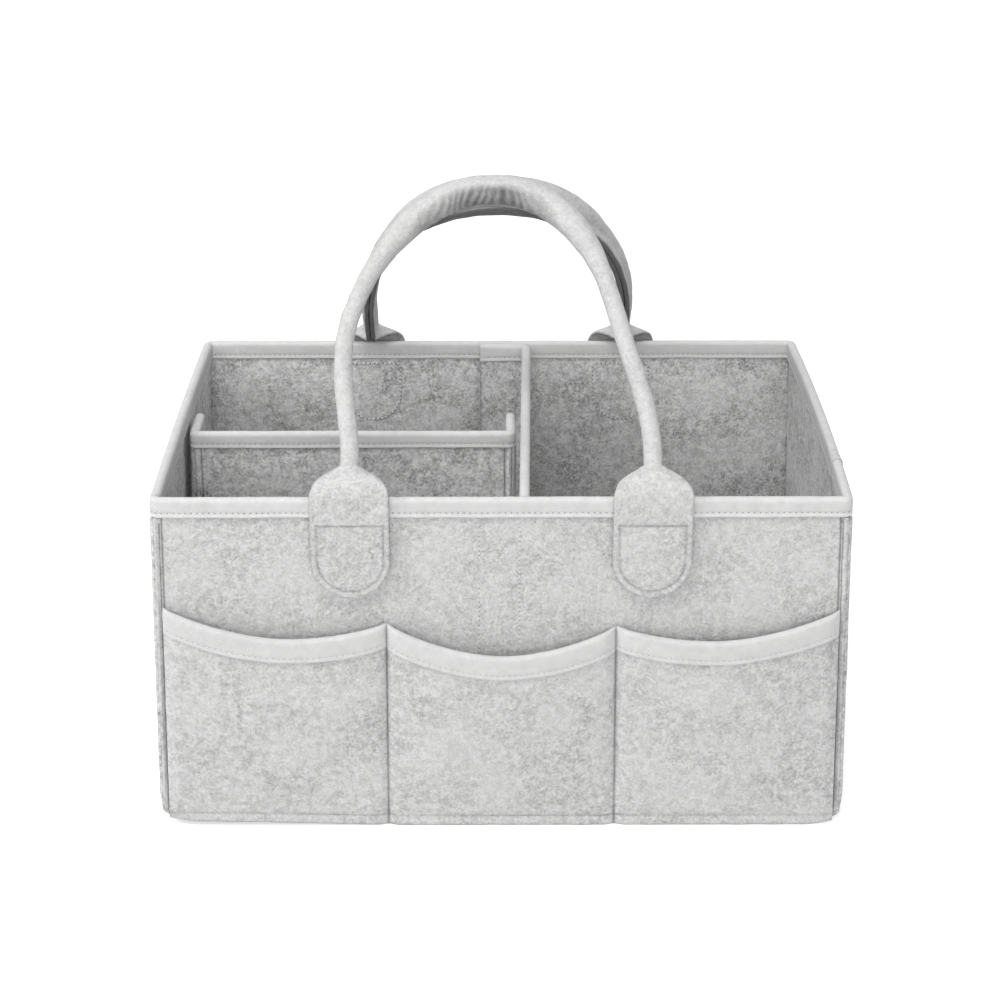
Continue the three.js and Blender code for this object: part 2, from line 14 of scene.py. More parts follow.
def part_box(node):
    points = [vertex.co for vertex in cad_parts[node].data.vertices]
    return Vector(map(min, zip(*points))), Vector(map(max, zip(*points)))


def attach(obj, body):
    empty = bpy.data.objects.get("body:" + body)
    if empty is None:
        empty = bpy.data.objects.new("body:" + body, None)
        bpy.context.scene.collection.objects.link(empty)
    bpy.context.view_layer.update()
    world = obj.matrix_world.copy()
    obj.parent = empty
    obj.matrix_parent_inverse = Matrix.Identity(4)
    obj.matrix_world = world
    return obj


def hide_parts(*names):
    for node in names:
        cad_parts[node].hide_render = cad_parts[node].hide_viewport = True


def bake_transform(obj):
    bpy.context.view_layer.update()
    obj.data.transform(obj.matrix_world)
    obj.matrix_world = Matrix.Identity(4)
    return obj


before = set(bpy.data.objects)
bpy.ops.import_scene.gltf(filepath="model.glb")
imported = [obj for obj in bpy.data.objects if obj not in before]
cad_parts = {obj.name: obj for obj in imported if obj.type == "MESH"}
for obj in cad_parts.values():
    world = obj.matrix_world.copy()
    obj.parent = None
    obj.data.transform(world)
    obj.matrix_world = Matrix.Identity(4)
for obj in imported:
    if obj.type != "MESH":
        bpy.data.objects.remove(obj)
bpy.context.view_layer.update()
MM = 0.001

# Cloth
FELT = 3 * MM
TAPE = 1 * MM
GAP = 0.3 * MM
COVER_HALF = FELT / 2 + GAP + TAPE
CHANNEL_HALF = FELT / 2 + GAP

# Box, from the frame's own boxes
RIM_LOW, RIM_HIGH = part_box("rim_binding")
RIM_TOP = RIM_HIGH.z
TAPE_EXTRA = 1.2 * MM
RIM_TAPE_HEIGHT = RIM_HIGH.z - RIM_LOW.z + TAPE_EXTRA
RIM_HALF_DEPTH = (RIM_HIGH.y - RIM_LOW.y) / 2
RIM_HALF_WIDTH = 190 * MM
MIDDLE = np.array([0, (RIM_HIGH.y + RIM_LOW.y) / 2, 0])
FLARE = 5 * MM
BELLIES = (0.9 * MM, 2.2 * MM)     # of the left and the right wall
BELLY_SHARES = (0.8, 0.95)         # of the half width, between which the belly sets in
WALL_OUTER = (RIM_HALF_WIDTH - TAPE - GAP, RIM_HALF_DEPTH - TAPE - GAP)
WALL_INNER = (WALL_OUTER[0] - FELT, WALL_OUTER[1] - FELT)
WALL_TOP = RIM_TOP - TAPE - GAP
FIN_TOP = RIM_TOP - RIM_TAPE_HEIGHT - GAP
FIN_REACH = 2.8 * MM
FIN_LAYER = 2.2 * MM
FOOT_HEIGHT = 6.5 * MM
FOOT_CUT, FOOT_RISE = 7 * MM, 22 * MM      # rounding of the walls' lower corners
FOOT_BEND_LENGTH = 16 * MM                 # of wall that bends inwards at such a corner
LEFT_LIFT, LIFT_HEIGHT = 2.6 * MM, 30 * MM
LIFT_SHARES = (0.2, 0.9)                   # of the half width, between which the foot curls up
BASE_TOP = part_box("base_panel")[1].z
BEND_RADIUS = 1.6 * MM

DIAGONAL = math.sqrt(0.5)


def smooth(low, high, value):
    share = np.clip((value - low) / (high - low), 0, 1)
    return share * share * (3 - 2 * share)


def mix(a, b, share):
    return a + (b - a) * share


def hill(off, width):
    """1 at no distance, and next to nothing beyond two widths."""
    return np.exp(-((off / width) ** 2))


def unit(vectors):
    return vectors / np.linalg.norm(vectors, axis=-1, keepdims=True)


def unevenness(place, size):
    """From -1 to 1, over lumps of a size."""
    return noise.noise(Vector(place) / size)


def spread(points):
    """The end walls lean out towards the ground and belly a little between front and rear, the foot
    curls up at the front left, and all that is sewn to the walls follows."""
    moved = np.array(points, float)
    drop = 1 - moved[..., 2] / RIM_TOP
    belly = 1 - np.minimum(moved[..., 1] / RIM_HALF_DEPTH, 1) ** 2
    end = smooth(*BELLY_SHARES, np.abs(moved[..., 0]) / RIM_HALF_WIDTH)
    bellies = np.where(moved[..., 0] > 0, BELLIES[1], BELLIES[0])
    moved[..., 0] *= 1 + FLARE / RIM_HALF_WIDTH * drop
    moved[..., 0] += np.sign(moved[..., 0]) * bellies * np.clip(belly, 0, 1) * end
    curl = smooth(*LIFT_SHARES, -moved[..., 0] / RIM_HALF_WIDTH) * smooth(0, RIM_HALF_DEPTH, -moved[..., 1])
    moved[..., 2] += LEFT_LIFT * curl * np.clip(1 - moved[..., 2] / LIFT_HEIGHT, 0, 1)
    return moved


# Materials

# sunk_thread is dark partly for the thread's own grey and partly as painted shade of the groove it is pulled
# into.
LEVELS = {
    "felt": 0.64, "twill_tape": 0.67, "thread": 0.72, "sunk_thread": 0.3, "needle_hole_shade": 0.16,
    "hook_strip": 0.62, "filling": 0.55,
}
CLOTH_WARMTH, SHEEN_ROUGHNESS = 0.003, 0.6
SHADE_DEPTHS = {"felt": 0.72, "twill_tape": 0.45}
FELT_NOISES = {                    # size, detail, roughness and distortion
    "clouds": (24 * MM, 3.0, 0.55), "blotches": (4.2 * MM, 3.0, 0.6, 0.4),
    "grain": (1.5 * MM, 3.0, 0.65, 0.5), "fuzz": (0.55 * MM, 2.0),
}
FELT_RAMPS = {                     # two values of the noise and what they turn into
    "clouds": (0.35, 0.65, 0.7, 1.25), "blotches": (0.62, 0.38, 0, 0.2),
    "grain": (0.6, 0.36, 0, 0.26), "fuzz": (0.3, 0.7, 0.94, 1.05),
}
MOTTLING_CONTRAST, MOTTLING_BRIGHTNESS = (0.9, 1.0), (0.25, 1.1)      # gain, and value at no mottling
BUMPS = {                          # distance and strength
    "blotches": (1.0 * MM, 0.7), "grain": (0.6 * MM, 0.8), "weave": (0.12 * MM, 0.6),
    "strands": (0.05 * MM, 0.5),
}
TWILL_PERIOD, WEFT_PERIOD = 1.3 * MM, 0.62 * MM
TWILL_SLANT = 0.6
RIDGES_SHARE, WEFT_SHARE = 0.8, 0.2
WEAVE_RAMP, WEAR_RAMP, STRAND_RANGE = (-1, 1, 0.91, 1.05), (0.3, 0.7, 0.9, 1.06), (0.9, 1.05)
WEAR_NOISE, STRAND_NOISE = (5 * MM, 5.0, 0.7), (0.35 * MM, 2.0)


def feed(tree, socket, value):
    """Set a socket to a plain value or link it to another node's output."""
    if isinstance(value, bpy.types.NodeSocket):
        tree.links.new(value, socket)
    else:
        socket.default_value = value


def add_node(tree, kind, settings=None, **inputs):
    """A node's first output. Inputs go by name, or by place as _0, _1 and _2."""
    node = tree.nodes.new(kind)
    for key, value in (settings or {}).items():
        setattr(node, key, value)
    for key, value in inputs.items():
        feed(tree, node.inputs[int(key[1:]) if key[0] == "_" else key.replace("_", " ")], value)
    return node.outputs[0]


class Shader:
    """A material whose nodes are added one by one, each fed with numbers or other nodes' outputs."""

    def __init__(self, name, roughness, sheen=0.0, specular=0.2):
        self.name = name
        self.material = bpy.data.materials.new(name)
        self.material.use_nodes = True
        self.tree = self.material.node_tree
        self.surface = self.tree.nodes["Principled BSDF"]
        self.surface.inputs["Roughness"].default_value = roughness
        self.surface.inputs["Specular IOR Level"].default_value = specular
        self.surface.inputs["Sheen Weight"].default_value = sheen
        self.surface.inputs["Sheen Roughness"].default_value = SHEEN_ROUGHNESS

    def node(self, kind, settings=None, **inputs):
        return add_node(self.tree, kind, settings, **inputs)

    def feed(self, socket, value):
        feed(self.tree, socket, value)

    def maths(self, operation, a, b=0.0, c=0.0):
        return self.node("ShaderNodeMath", {"operation": operation}, _0=a, _1=b, _2=c)

    def times(self, *factors):
        product = factors[0]
        for factor in factors[1:]:
            product = self.maths("MULTIPLY", product, factor)
        return product

    def noise(self, place, size, detail, rough=0.6, distortion=0.0):
        return self.node(
            "ShaderNodeTexNoise", None, Vector=place, Scale=1 / size,
            Detail=detail, Roughness=rough, Distortion=distortion,
        )

    def ramp(self, value, low, high, to_low=0.0, to_high=1.0):
        return self.node(
            "ShaderNodeMapRange", {"clamp": True}, Value=value, From_Min=low, From_Max=high,
            To_Min=to_low, To_Max=to_high,
        )

    def attribute(self, name, output="Fac"):
        node = self.tree.nodes.new("ShaderNodeAttribute")
        node.attribute_name = name
        return node.outputs[output]

    def place(self):
        return self.tree.nodes.new("ShaderNodeTexCoord").outputs["Object"]

    def grey(self, level, warmth=0.0):
        """A colour from a brightness, a touch warmer or cooler."""
        red, blue = self.times(level, 1 + warmth), self.times(level, 1 - warmth)
        return self.node("ShaderNodeCombineColor", None, Red=red, Green=level, Blue=blue)

    def painted_light_and_cut_edges(self, tone):
        """A cloth's colour with the painted shade and light of its shade attribute: darker above 0 and
        lighter below 0, and darker at cut edges too.
        """
        shade = self.maths("SUBTRACT", 1.0, self.times(self.attribute("shade"), SHADE_DEPTHS[self.name]))
        return self.grey(self.times(tone, shade, LEVELS[self.name]), CLOTH_WARMTH)

    def bump(self, height, distance, strength, under=None):
        inputs = {"Height": height, "Distance": distance, "Strength": strength}
        if under is not None:
            inputs["Normal"] = under
        return self.node("ShaderNodeBump", None, **inputs)

    def finish(self, colour, normal):
        self.feed(self.surface.inputs["Base Color"], colour)
        self.feed(self.surface.inputs["Normal"], normal)
        return self.material


def felt_material(name):
    """Pressed fibres: soft clouds, darker blotches and grain that lie in drifts, and a fine fuzz.
    Where the mottling attribute is 1 the contrast is stronger, and below 0 it is weaker."""
    shader = Shader(name, 0.95, sheen=0.12)
    place, mottling = shader.place(), shader.attribute("mottling")
    noises = {kind: shader.noise(place, *sizes) for kind, sizes in FELT_NOISES.items()}
    ramps = {kind: shader.ramp(noises[kind], *levels) for kind, levels in FELT_RAMPS.items()}
    contrast = shader.maths("MULTIPLY_ADD", mottling, *MOTTLING_CONTRAST)
    dark = shader.times(shader.maths("ADD", ramps["blotches"], ramps["grain"]), ramps["clouds"], contrast)
    bright = shader.maths("MULTIPLY_ADD", mottling, *MOTTLING_BRIGHTNESS)
    tone = shader.times(shader.maths("SUBTRACT", bright, dark), ramps["fuzz"])
    lumps = shader.bump(noises["blotches"], *BUMPS["blotches"])
    return shader.finish(shader.painted_light_and_cut_edges(tone), shader.bump(noises["grain"], *BUMPS["grain"], lumps))


def twill_material(name):
    """Woven tape: slanting ridges over a finer weft. The weave attribute holds the distance along
    the tape and across it."""
    shader = Shader(name, 0.8, sheen=0.1)
    split = shader.tree.nodes.new("ShaderNodeSeparateXYZ")
    shader.feed(split.inputs[0], shader.attribute("weave", "Vector"))
    along, across = split.outputs[0], split.outputs[1]
    slant = shader.maths("SUBTRACT", along, shader.times(across, TWILL_SLANT))
    ridges = shader.maths("SINE", shader.times(slant, 2 * math.pi / TWILL_PERIOD))
    weft = shader.maths("SINE", shader.times(across, 2 * math.pi / WEFT_PERIOD))
    cloth = shader.maths("ADD", shader.times(ridges, RIDGES_SHARE), shader.times(weft, WEFT_SHARE))
    wear = shader.noise(shader.place(), *WEAR_NOISE)
    tone = shader.times(shader.ramp(cloth, *WEAVE_RAMP), shader.ramp(wear, *WEAR_RAMP))
    return shader.finish(shader.painted_light_and_cut_edges(tone), shader.bump(cloth, *BUMPS["weave"]))


def thread_material(name):
    shader = Shader(name, 0.7)
    strands = shader.noise(shader.place(), *STRAND_NOISE)
    tone = shader.ramp(strands, 0.3, 0.7, *(share * LEVELS[name] for share in STRAND_RANGE))
    return shader.finish(shader.grey(tone), shader.bump(strands, *BUMPS["strands"]))


FELT_CLOTH = felt_material("felt")
TWILL = twill_material("twill_tape")
# The needle-hole bars are dark only as painted shade of the holes.
THREAD, SUNK_THREAD, NEEDLE_HOLE_SHADE, HOOKS, CORD = (
    thread_material(name) for name in ("thread", "sunk_thread", "needle_hole_shade", "hook_strip", "filling")
)

# Meshes

MERGE_DISTANCE, TINY = 0.01 * MM, 0.001 * MM
ROUGHNESS = {                      # height and size of the lumps, and the seed where it isn't 0
    "walls": (0.25 * MM, 9 * MM), "base": (0.4 * MM, 14 * MM), "pockets": (0.3 * MM, 10 * MM, 5.0),
    "divider": (0.2 * MM, 8 * MM), "insert": (0.15 * MM, 8 * MM), "tape": (0.12 * MM, 5 * MM),
    "handles": (0.35 * MM, 9 * MM, 11.0), "cords": (0.15 * MM, 4 * MM),
}
FLAT_ANGLE, SHARP_ANGLE, SMOOTH_ANGLE = math.radians(1), math.radians(40), math.radians(50)


def placed(name, data):
    """An object for a mesh, a lamp or the camera, put into the scene."""
    obj = bpy.data.objects.new(name, data)
    bpy.context.collection.objects.link(obj)
    return obj


def mesh_object(name, points, faces, material, **attributes):
    mesh = bpy.data.meshes.new(name)
    mesh.from_pydata((np.array(points, float) + MIDDLE).tolist(), [], faces)
    mesh.validate()
    mesh.materials.append(material)
    for key, values in attributes.items():
        flat = np.asarray(values, np.float32)
        kind, field = ("FLOAT_VECTOR", "vector") if flat.ndim > 1 else ("FLOAT", "value")
        mesh.attributes.new(key, kind, "POINT").data.foreach_set(field, flat.ravel())
    mesh.shade_smooth()
    return placed(name, mesh)


def ring_faces(rows, count, closed):
    """Quads between rings of points. Open ends are filled across from one half of a ring to the other."""
    faces = []
    for row in range(rows if closed else rows - 1):
        a, b = row * count, ((row + 1) % rows) * count
        for i in range(count):
            j = (i + 1) % count
            faces.append((a + i, b + i, b + j, a + j))
    if not closed:
        last = (rows - 1) * count
        for i in range(count // 2 - 1):
            near = (i, i + 1, count - 2 - i, count - 1 - i)
            faces.append(near)
            faces.append(tuple(last + k for k in reversed(near)))
    return faces


def rings_object(name, rings, material, closed=False, **attributes):
    rings = np.asarray(rings, float)
    rows, count = rings.shape[:2]
    flat = {k: np.asarray(v, float).reshape(rows * count, -1) for k, v in attributes.items()}
    flat = {k: v[:, 0] if v.shape[1] == 1 else v for k, v in flat.items()}
    points = rings.reshape(-1, 3)
    faces = ring_faces(rows, count, closed)
    if inside_out(points, faces):
        faces = [face[::-1] for face in faces]
    return mesh_object(name, points, faces, material, **flat)


def inside_out(points, faces):
    a, b, c, d = (points[[face[k] for face in faces]] for k in range(4))
    volume = np.einsum("ij,ij->i", a, np.cross(b, c)) + np.einsum("ij,ij->i", a, np.cross(c, d))
    return volume.sum() < 0


def places_of(mesh):
    places = np.empty(len(mesh.vertices) * 3, np.float32)
    mesh.vertices.foreach_get("co", places)
    return places.reshape(-1, 3)


def move_to(mesh, places):
    mesh.vertices.foreach_set("co", np.asarray(places, np.float32).ravel())
    mesh.update()


def roughen(obj, piece):
    """Soft unevenness of the surface, along its normals."""
    amount, size, seed = (*ROUGHNESS[piece], 0.0)[:3]
    places = places_of(obj.data)
    normals = np.empty(places.size, np.float32)
    obj.data.vertex_normals.foreach_get("vector", normals)
    shifts = [noise.noise(Vector(place) + Vector((seed, seed, seed))) for place in places / size]
    move_to(obj.data, places + normals.reshape(-1, 3) * (np.array(shifts, np.float32) * amount)[:, None])
    return obj


def refined_copy(node, name, material, bevel, spacing):
    """A node's own shape with rounded edges and an even net of faces."""
    net = bmesh.new()
    net.from_mesh(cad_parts[node].data)
    bmesh.ops.remove_doubles(net, verts=net.verts, dist=MERGE_DISTANCE)
    bmesh.ops.dissolve_limit(net, angle_limit=FLAT_ANGLE, verts=net.verts, edges=net.edges)
    sharp = [edge for edge in net.edges if edge.is_manifold and edge.calc_face_angle() > SHARP_ANGLE]
    bmesh.ops.bevel(net, geom=sharp, offset=bevel, segments=2, profile=0.5, affect="EDGES")
    low, high = (Vector(corner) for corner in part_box(node))
    for axis in range(3):
        normal = Vector([float(k == axis) for k in range(3)])
        cuts = int((high[axis] - low[axis]) / spacing)
        for i in range(1, cuts):
            geometry = net.verts[:] + net.edges[:] + net.faces[:]
            place = mix(low, high, i / cuts)
            bmesh.ops.bisect_plane(net, geom=geometry, plane_co=place, plane_no=normal, dist=TINY)
    mesh = bpy.data.meshes.new(name)
    net.to_mesh(mesh)
    net.free()
    mesh.materials.append(material)
    mesh.attributes.new("shade", "FLOAT", "POINT")
    mesh.shade_smooth()
    mesh.set_sharp_from_angle(angle=SMOOTH_ANGLE)
    return placed(name, mesh)


def dress(obj, body, slot, *nodes):
    """The piece rides on a body and stands for CAD nodes if any are named. Its slot argument is not used."""
    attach(obj, body)
    if nodes:
        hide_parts(*nodes)
    return obj


# Lines seen from above

LINE_STEP = 3 * MM
CORNER_STEPS = 6
SMALLEST_RADIUS = 0.25 * MM


def right_of(direction):
    return np.array([direction[1], -direction[0]])


def turned(points, angle):
    cos, sin = math.cos(angle), math.sin(angle)
    moved = points.copy()
    moved[..., 0] = points[..., 0] * cos - points[..., 1] * sin
    moved[..., 1] = points[..., 0] * sin + points[..., 1] * cos
    return moved


def offset_line(corners, radius, distance, closed=False):
    """Points of a line with rounded corners, moved to its right by a distance. Lines at every
    distance have the same number of points."""
    corners = [np.array(c, float) for c in corners]
    count = len(corners)
    ends = count if closed else count - 1
    ways = [unit(corners[(i + 1) % count] - corners[i]) for i in range(ends)]
    lengths = [np.linalg.norm(corners[(i + 1) % count] - corners[i]) for i in range(ends)]
    arcs = []
    for i, corner in enumerate(corners):
        if not closed and i in (0, count - 1):
            way = ways[0] if i == 0 else ways[-1]
            arcs.append([corner + right_of(way) * distance])
            continue
        arriving, leaving = ways[i - 1], ways[i]
        sides = right_of(arriving), right_of(leaving)
        mitre = corner + (sides[0] + sides[1]) / (1 + sides[0] @ sides[1]) * distance
        turn = math.atan2(arriving[0] * leaving[1] - arriving[1] * leaving[0], arriving @ leaving)
        way_round = math.copysign(1, turn)
        bend = max(radius + way_round * distance, SMALLEST_RADIUS)
        start = mitre - arriving * bend * math.tan(abs(turn) / 2)
        centre = start - sides[0] * way_round * bend
        spoke = start - centre
        arc = []
        for k in range(CORNER_STEPS + 1):
            arc.append(centre + turned(spoke, turn * k / CORNER_STEPS))
        arcs.append(arc)
    points = []
    for i in range(ends):
        start, end = arcs[i][-1], arcs[(i + 1) % count][0]
        steps = max(2, round(lengths[i] / LINE_STEP))
        points.extend(arcs[i])
        points.extend(mix(start, end, k / steps) for k in range(1, steps))
    if not closed:
        points.extend(arcs[-1])
    return np.array(points)


def lengths_along(points):
    steps = np.linalg.norm(np.diff(points, axis=0), axis=1)
    return np.concatenate([[0], np.cumsum(steps)])


def with_height(flat, height):
    return np.column_stack([flat, np.full(len(flat), height)])


# Folded tape

STITCH_UP = 2.9 * MM          # stitch row above the tape's lower edge
FOLD_HEIGHT = 2.4 * MM        # height of the round at the tape's top
LEG_UPS = [up * MM for up in (0, 0.2, 0.5, 0.9, 1.4, 1.9, 2.4, 2.9, 3.4, 4.2)]
STITCH_STEP = LEG_UPS.index(STITCH_UP)
LEG_TOP = 5.2 * MM            # from where the leg is plain, up to the fold
FOLD_STEPS = 5
EDGE_UP, EDGE_IN = 0.5 * MM, 0.6 * MM                            # rounding of the tape's lower edge
RIDGE_UP, RIDGE_WIDTH, RIDGE_OUT = 0.9 * MM, 0.5 * MM, 0.06 * MM
DIP_WIDTH, DIP_DEPTH = 0.6 * MM, 0.22 * MM                       # where the stitches pull the tape in
SELVEDGE_BLEND = 0.8 * MM
# Painted shade in the stitch dip and under the rounded lower edge, a lighter strip below the stitches, and a
# painted highlight on the top fold.
TAPE_SHADES = {"dip": 0.3, "edge": 0.3, "selvedge": -0.26, "fold": -0.2}
EDGE_WAVE, EDGE_WAVE_SIZE = 0.45 * MM, 26 * MM
FOLD_WAVE, FOLD_WAVE_SIZE = 0.15 * MM, 14 * MM


def tape_profile(height, half, inner_half):
    """Once round the section of a folded tape, outer way first: distance from the middle and drop
    from the top, with the distance across the cloth and the painted shade and light of each place."""
    ups = np.array(LEG_UPS + list(np.linspace(LEG_TOP, height - FOLD_HEIGHT, 3)))
    edge = 1 - smooth(0, EDGE_UP, ups)
    dip = hill(ups - STITCH_UP, DIP_WIDTH)
    out = half + RIDGE_OUT * hill(ups - RIDGE_UP, RIDGE_WIDTH) - DIP_DEPTH * dip - EDGE_IN * edge
    angles = math.pi / 2 * np.arange(1, FOLD_STEPS + 1) / FOLD_STEPS
    fold = np.column_stack([half * np.cos(angles), FOLD_HEIGHT * (1 - np.sin(angles))])
    side = np.vstack([np.column_stack([out, height - ups]), fold])
    outer = np.vstack([side, side[-2::-1] * [-1, 1]])
    inner = np.clip(outer, (-inner_half, TAPE), (inner_half, height))
    selvedge = 1 - smooth(STITCH_UP - SELVEDGE_BLEND, STITCH_UP, ups)
    parts = {"dip": dip, "edge": edge, "selvedge": selvedge}
    leg_shade = sum(TAPE_SHADES[part] * depth for part, depth in parts.items())
    shade = np.concatenate([leg_shade, TAPE_SHADES["fold"] * np.sin(angles)])
    shade = np.concatenate([shade, shade[-2::-1]])
    across = lengths_along(outer)
    profile = np.vstack([outer, inner[::-1]])
    return profile, np.concatenate([across, across[::-1]]), np.concatenate([shade, shade[::-1]])


def stitch_rows(rings, closed=False):
    """The two stitch rows of a folded tape, each as its path and its outward normals."""
    last = rings.shape[1] // 2 - 1
    rows = []
    for near, far in ((STITCH_STEP, last - STITCH_STEP), (last - STITCH_STEP, STITCH_STEP)):
        path, normals = rings[:, near], rings[:, near] - rings[:, far]
        if closed:
            path, normals = np.vstack([path, path[:1]]), np.vstack([normals, normals[:1]])
        rows.append((path, normals))
    return rows


def folded_tape(line_at, top, height, seed=0.0):
    """Tape folded over the top edge of a sheet; line_at gives the sheet's line at a distance."""
    profile, across, shade = tape_profile(height, COVER_HALF, CHANNEL_HALF)
    middle = line_at(0)
    rings = np.zeros((len(middle), len(profile), 3))
    for j, (distance, drop) in enumerate(profile):
        rings[:, j, :2] = line_at(distance)
        rings[:, j, 2] = top - drop
    lower = np.clip((profile[:, 1] - FOLD_HEIGHT) / (height - FOLD_HEIGHT), 0, 1)
    for i, (x, y) in enumerate(middle):
        rings[i, :, 2] += EDGE_WAVE * lower * unevenness((x, y, seed), EDGE_WAVE_SIZE)
        rings[i, :, 2] += FOLD_WAVE * (1 - lower) * unevenness((x, y, seed), FOLD_WAVE_SIZE)
    weave = np.zeros_like(rings)
    weave[:, :, 0] = lengths_along(middle)[:, None]
    weave[:, :, 1] = across[None, :]
    return rings, weave, np.tile(shade, (len(middle), 1))


def tape_object(name, rings, weave, shade, closed=False):
    obj = rings_object(name, rings, TWILL, closed, weave=weave, shade=shade)
    return roughen(obj, "tape")


def sewn_tape(node, name, seam, rings, weave, shade, closed=False, **sizes):
    """Tape on the seam's own body in a node's place, with its two rows of stitches."""
    dress(tape_object(name, rings, weave, shade, closed), seam.body, "tape", node)
    for path, normals in stitch_rows(rings, closed):
        seam.row(path, normals, TAPE_PITCH, **sizes)


# Stitches

BAR_SIDES = 6
BAR_SHAPE = np.array([(0.0, 0.25), (0.12, 0.85), (0.3, 1.0), (0.7, 1.0), (0.88, 0.85), (1.0, 0.25)])
BAR_FLATNESS_SHARE = 0.8
STITCH_SHARE = 0.74                # of each pitch, that the stitch lies on
HOLE_HALF_SHARE, HOLE_SINK_SHARE = 0.7, 0.35


def bars(starts, ends, normals, radius):
    """Short rounded bars, a little flattened along the normals, as points and faces."""
    ways = ends - starts
    sides = unit(np.cross(ways, normals))
    lifts = unit(np.cross(sides, ways)) * BAR_FLATNESS_SHARE
    angles = 2 * math.pi * np.arange(BAR_SIDES)[:, None] / BAR_SIDES
    around = sides[:, None] * np.cos(angles) + lifts[:, None] * np.sin(angles)
    spines = starts[:, None] + ways[:, None] * BAR_SHAPE[:, :1]
    points = spines[:, :, None] + around[:, None] * (radius * BAR_SHAPE[:, 1])[:, None, None]
    rows, one = len(BAR_SHAPE), []
    for row in range(rows - 1):
        a, b = row * BAR_SIDES, (row + 1) * BAR_SIDES
        for k in range(BAR_SIDES):
            j = (k + 1) % BAR_SIDES
            one.append((a + k, b + k, b + j, a + j))
    one.append(tuple(range(BAR_SIDES)))
    one.append(tuple((rows - 1) * BAR_SIDES + k for k in reversed(range(BAR_SIDES))))
    size = rows * BAR_SIDES
    faces = [tuple(i * size + k for k in face) for i in range(len(starts)) for face in one]
    return points.reshape(-1, 3), faces


class Seam:
    """Rows of thread on one body: stitches half sunk in the cloth, with a dark bar between two as painted
    shade of a needle hole.
    """

    def __init__(self, name, body, slot, thread):
        self.name, self.body, self.slot, self.material = name, body, slot, thread
        self.thread, self.holes = [], []

    def row(self, path, normals, pitch, radius=0.24 * MM, hole=0.26 * MM, sink=0.1 * MM):
        """Stitches along a path whose outward normals are given for each point or once for all."""
        path = np.asarray(path, float)
        normals = np.broadcast_to(np.asarray(normals, float), path.shape)
        along = lengths_along(path)
        count = max(2, round(along[-1] / pitch))
        pitch = along[-1] / count

        def add(bar_rows, middles, half, depth, thickness):
            def at(places, table):
                return np.column_stack([np.interp(places, along, table[:, k]) for k in range(3)])

            lifts = unit(at(middles, normals))
            ends = [at(middles + way * half, path) - lifts * depth for way in (-1, 1)]
            bar_rows.append((*ends, lifts, thickness))

        add(self.thread, (np.arange(count) + 0.5) * pitch, pitch * STITCH_SHARE / 2, sink, radius)
        add(self.holes, np.arange(1, count) * pitch, hole * HOLE_HALF_SHARE, hole * HOLE_SINK_SHARE, hole)

    def build(self):
        for rows, name, material in (
            (self.thread, self.name, self.material), (self.holes, self.name + "_hole_shades", NEEDLE_HOLE_SHADE),
        ):
            points, faces, first = [], [], 0
            for row in rows:
                some, their_faces = bars(*row)
                points.append(some)
                faces.extend(tuple(first + k for k in face) for face in their_faces)
                first += len(some)
            dress(mesh_object(name, np.vstack(points), faces, material), self.body, self.slot)


# Walls

END_DETAIL = 4 * MM                # of a panel's ends that has a finer net
EDGE_STEPS = (0.12 * MM, 0.35 * MM)
CLOTH_EDGE, BLUNT_SHARE = 0.6 * MM, 0.35         # rounding of a cut edge, and what is left at its very end
FIN_SQUEEZE_SHARE, FIN_FREE_AFTER = 0.8, 2.5 * MM
CREASE_INSET = 0.8 * MM            # of the corner's crease of painted shade from the fin
SEAM_BLEND, RAW_BLEND = (0.1 * MM, 0.9 * MM), (0.2 * MM, 0.9 * MM)
RAW_SHADE, SEAM_SHADES = 0.05, (0.85, 0.1)       # of a cut edge, and the painted shade of a crease outside and inside
LEVEL_STEP, LEVEL_MARGINS, GROOVE_MARGIN = 4 * MM, (1.2 * MM, 0.8 * MM), 2 * MM
LOW_LEVELS = [up * MM for up in (0, 0.15, 0.5, 2, 3, 4)]
TOP_LEVELS = [up * MM for up in (-0.3, 0, 0.3)]
GROOVE_LEVELS = [up * MM for up in (-1.6, -0.8, -0.4, 0, 0.4, 0.8, 1.6)]
FIN_WAVE, FIN_WAVE_SIZE, FIN_TRIM = 0.5 * MM, 17 * MM, 0.6 * MM
FIN_WAVE_WAY, FIN_WAVE_SEED = (0.6, 0.4), 3.1    # along the wall and outwards; apart for the two ends
# The seam groove along the foot: its width, depth and painted shade.
GROOVE_WIDTH, GROOVE_DEPTH, GROOVE_SHADE = 0.75 * MM, 0.42 * MM, 0.4
# Painted shade along a panel's lowest edge, where it stands on the ground or the base.
FOOT_SHADE, FOOT_SQUEEZE_SHARE = 0.6, 0.6
TOUCH = 0.05 * MM                  # below which two places count as one
QUARTER = math.pi / 2
WALL_SEED = 7.0
CREASE_ROW_INSET = 0.55 * MM
CREASE_FACING = (0.38, 0.92)
CREASE_STITCH = {"radius": 0.34 * MM, "hole": 0.34 * MM}
FOOT_ROW_STEP, FOOT_ROW_SINK, FOOT_ROW_INSETS = 6 * MM, 0.4 * MM, (2 * MM, 1 * MM)
ROW_STEP, ROW_WOBBLE, ROW_WOBBLE_SIZE = 4 * MM, 0.2 * MM, 11 * MM
FORWARDS = np.array([0.0, -1.0, 0.0])
SEAM_FILL, SEAM_FILL_INSET, SEAM_FILL_STEP = 0.9 * MM, 1.1 * MM, 6 * MM


def panel_line(left, right, left_inner, right_inner, reach):
    """The middle line of a panel along X whose inner face is at y = 0. A fin end turns outwards at
    45 degrees and is squeezed by its seam; a plain end stops square."""

    def end(kind, inner):
        if kind == "plain":
            return [(inner, -FELT / 2)]
        corner = inner - GAP * DIAGONAL
        squeezed = FIN_LAYER / 2 * DIAGONAL
        start = (corner - FELT / 2 * (1 - DIAGONAL), -FELT / 2)
        return [start, (corner - squeezed + reach, -squeezed - reach)]

    corners = [(-x, y) for x, y in end(left, left_inner)][::-1] + end(right, right_inner)
    return offset_line(corners, BEND_RADIUS, 0)


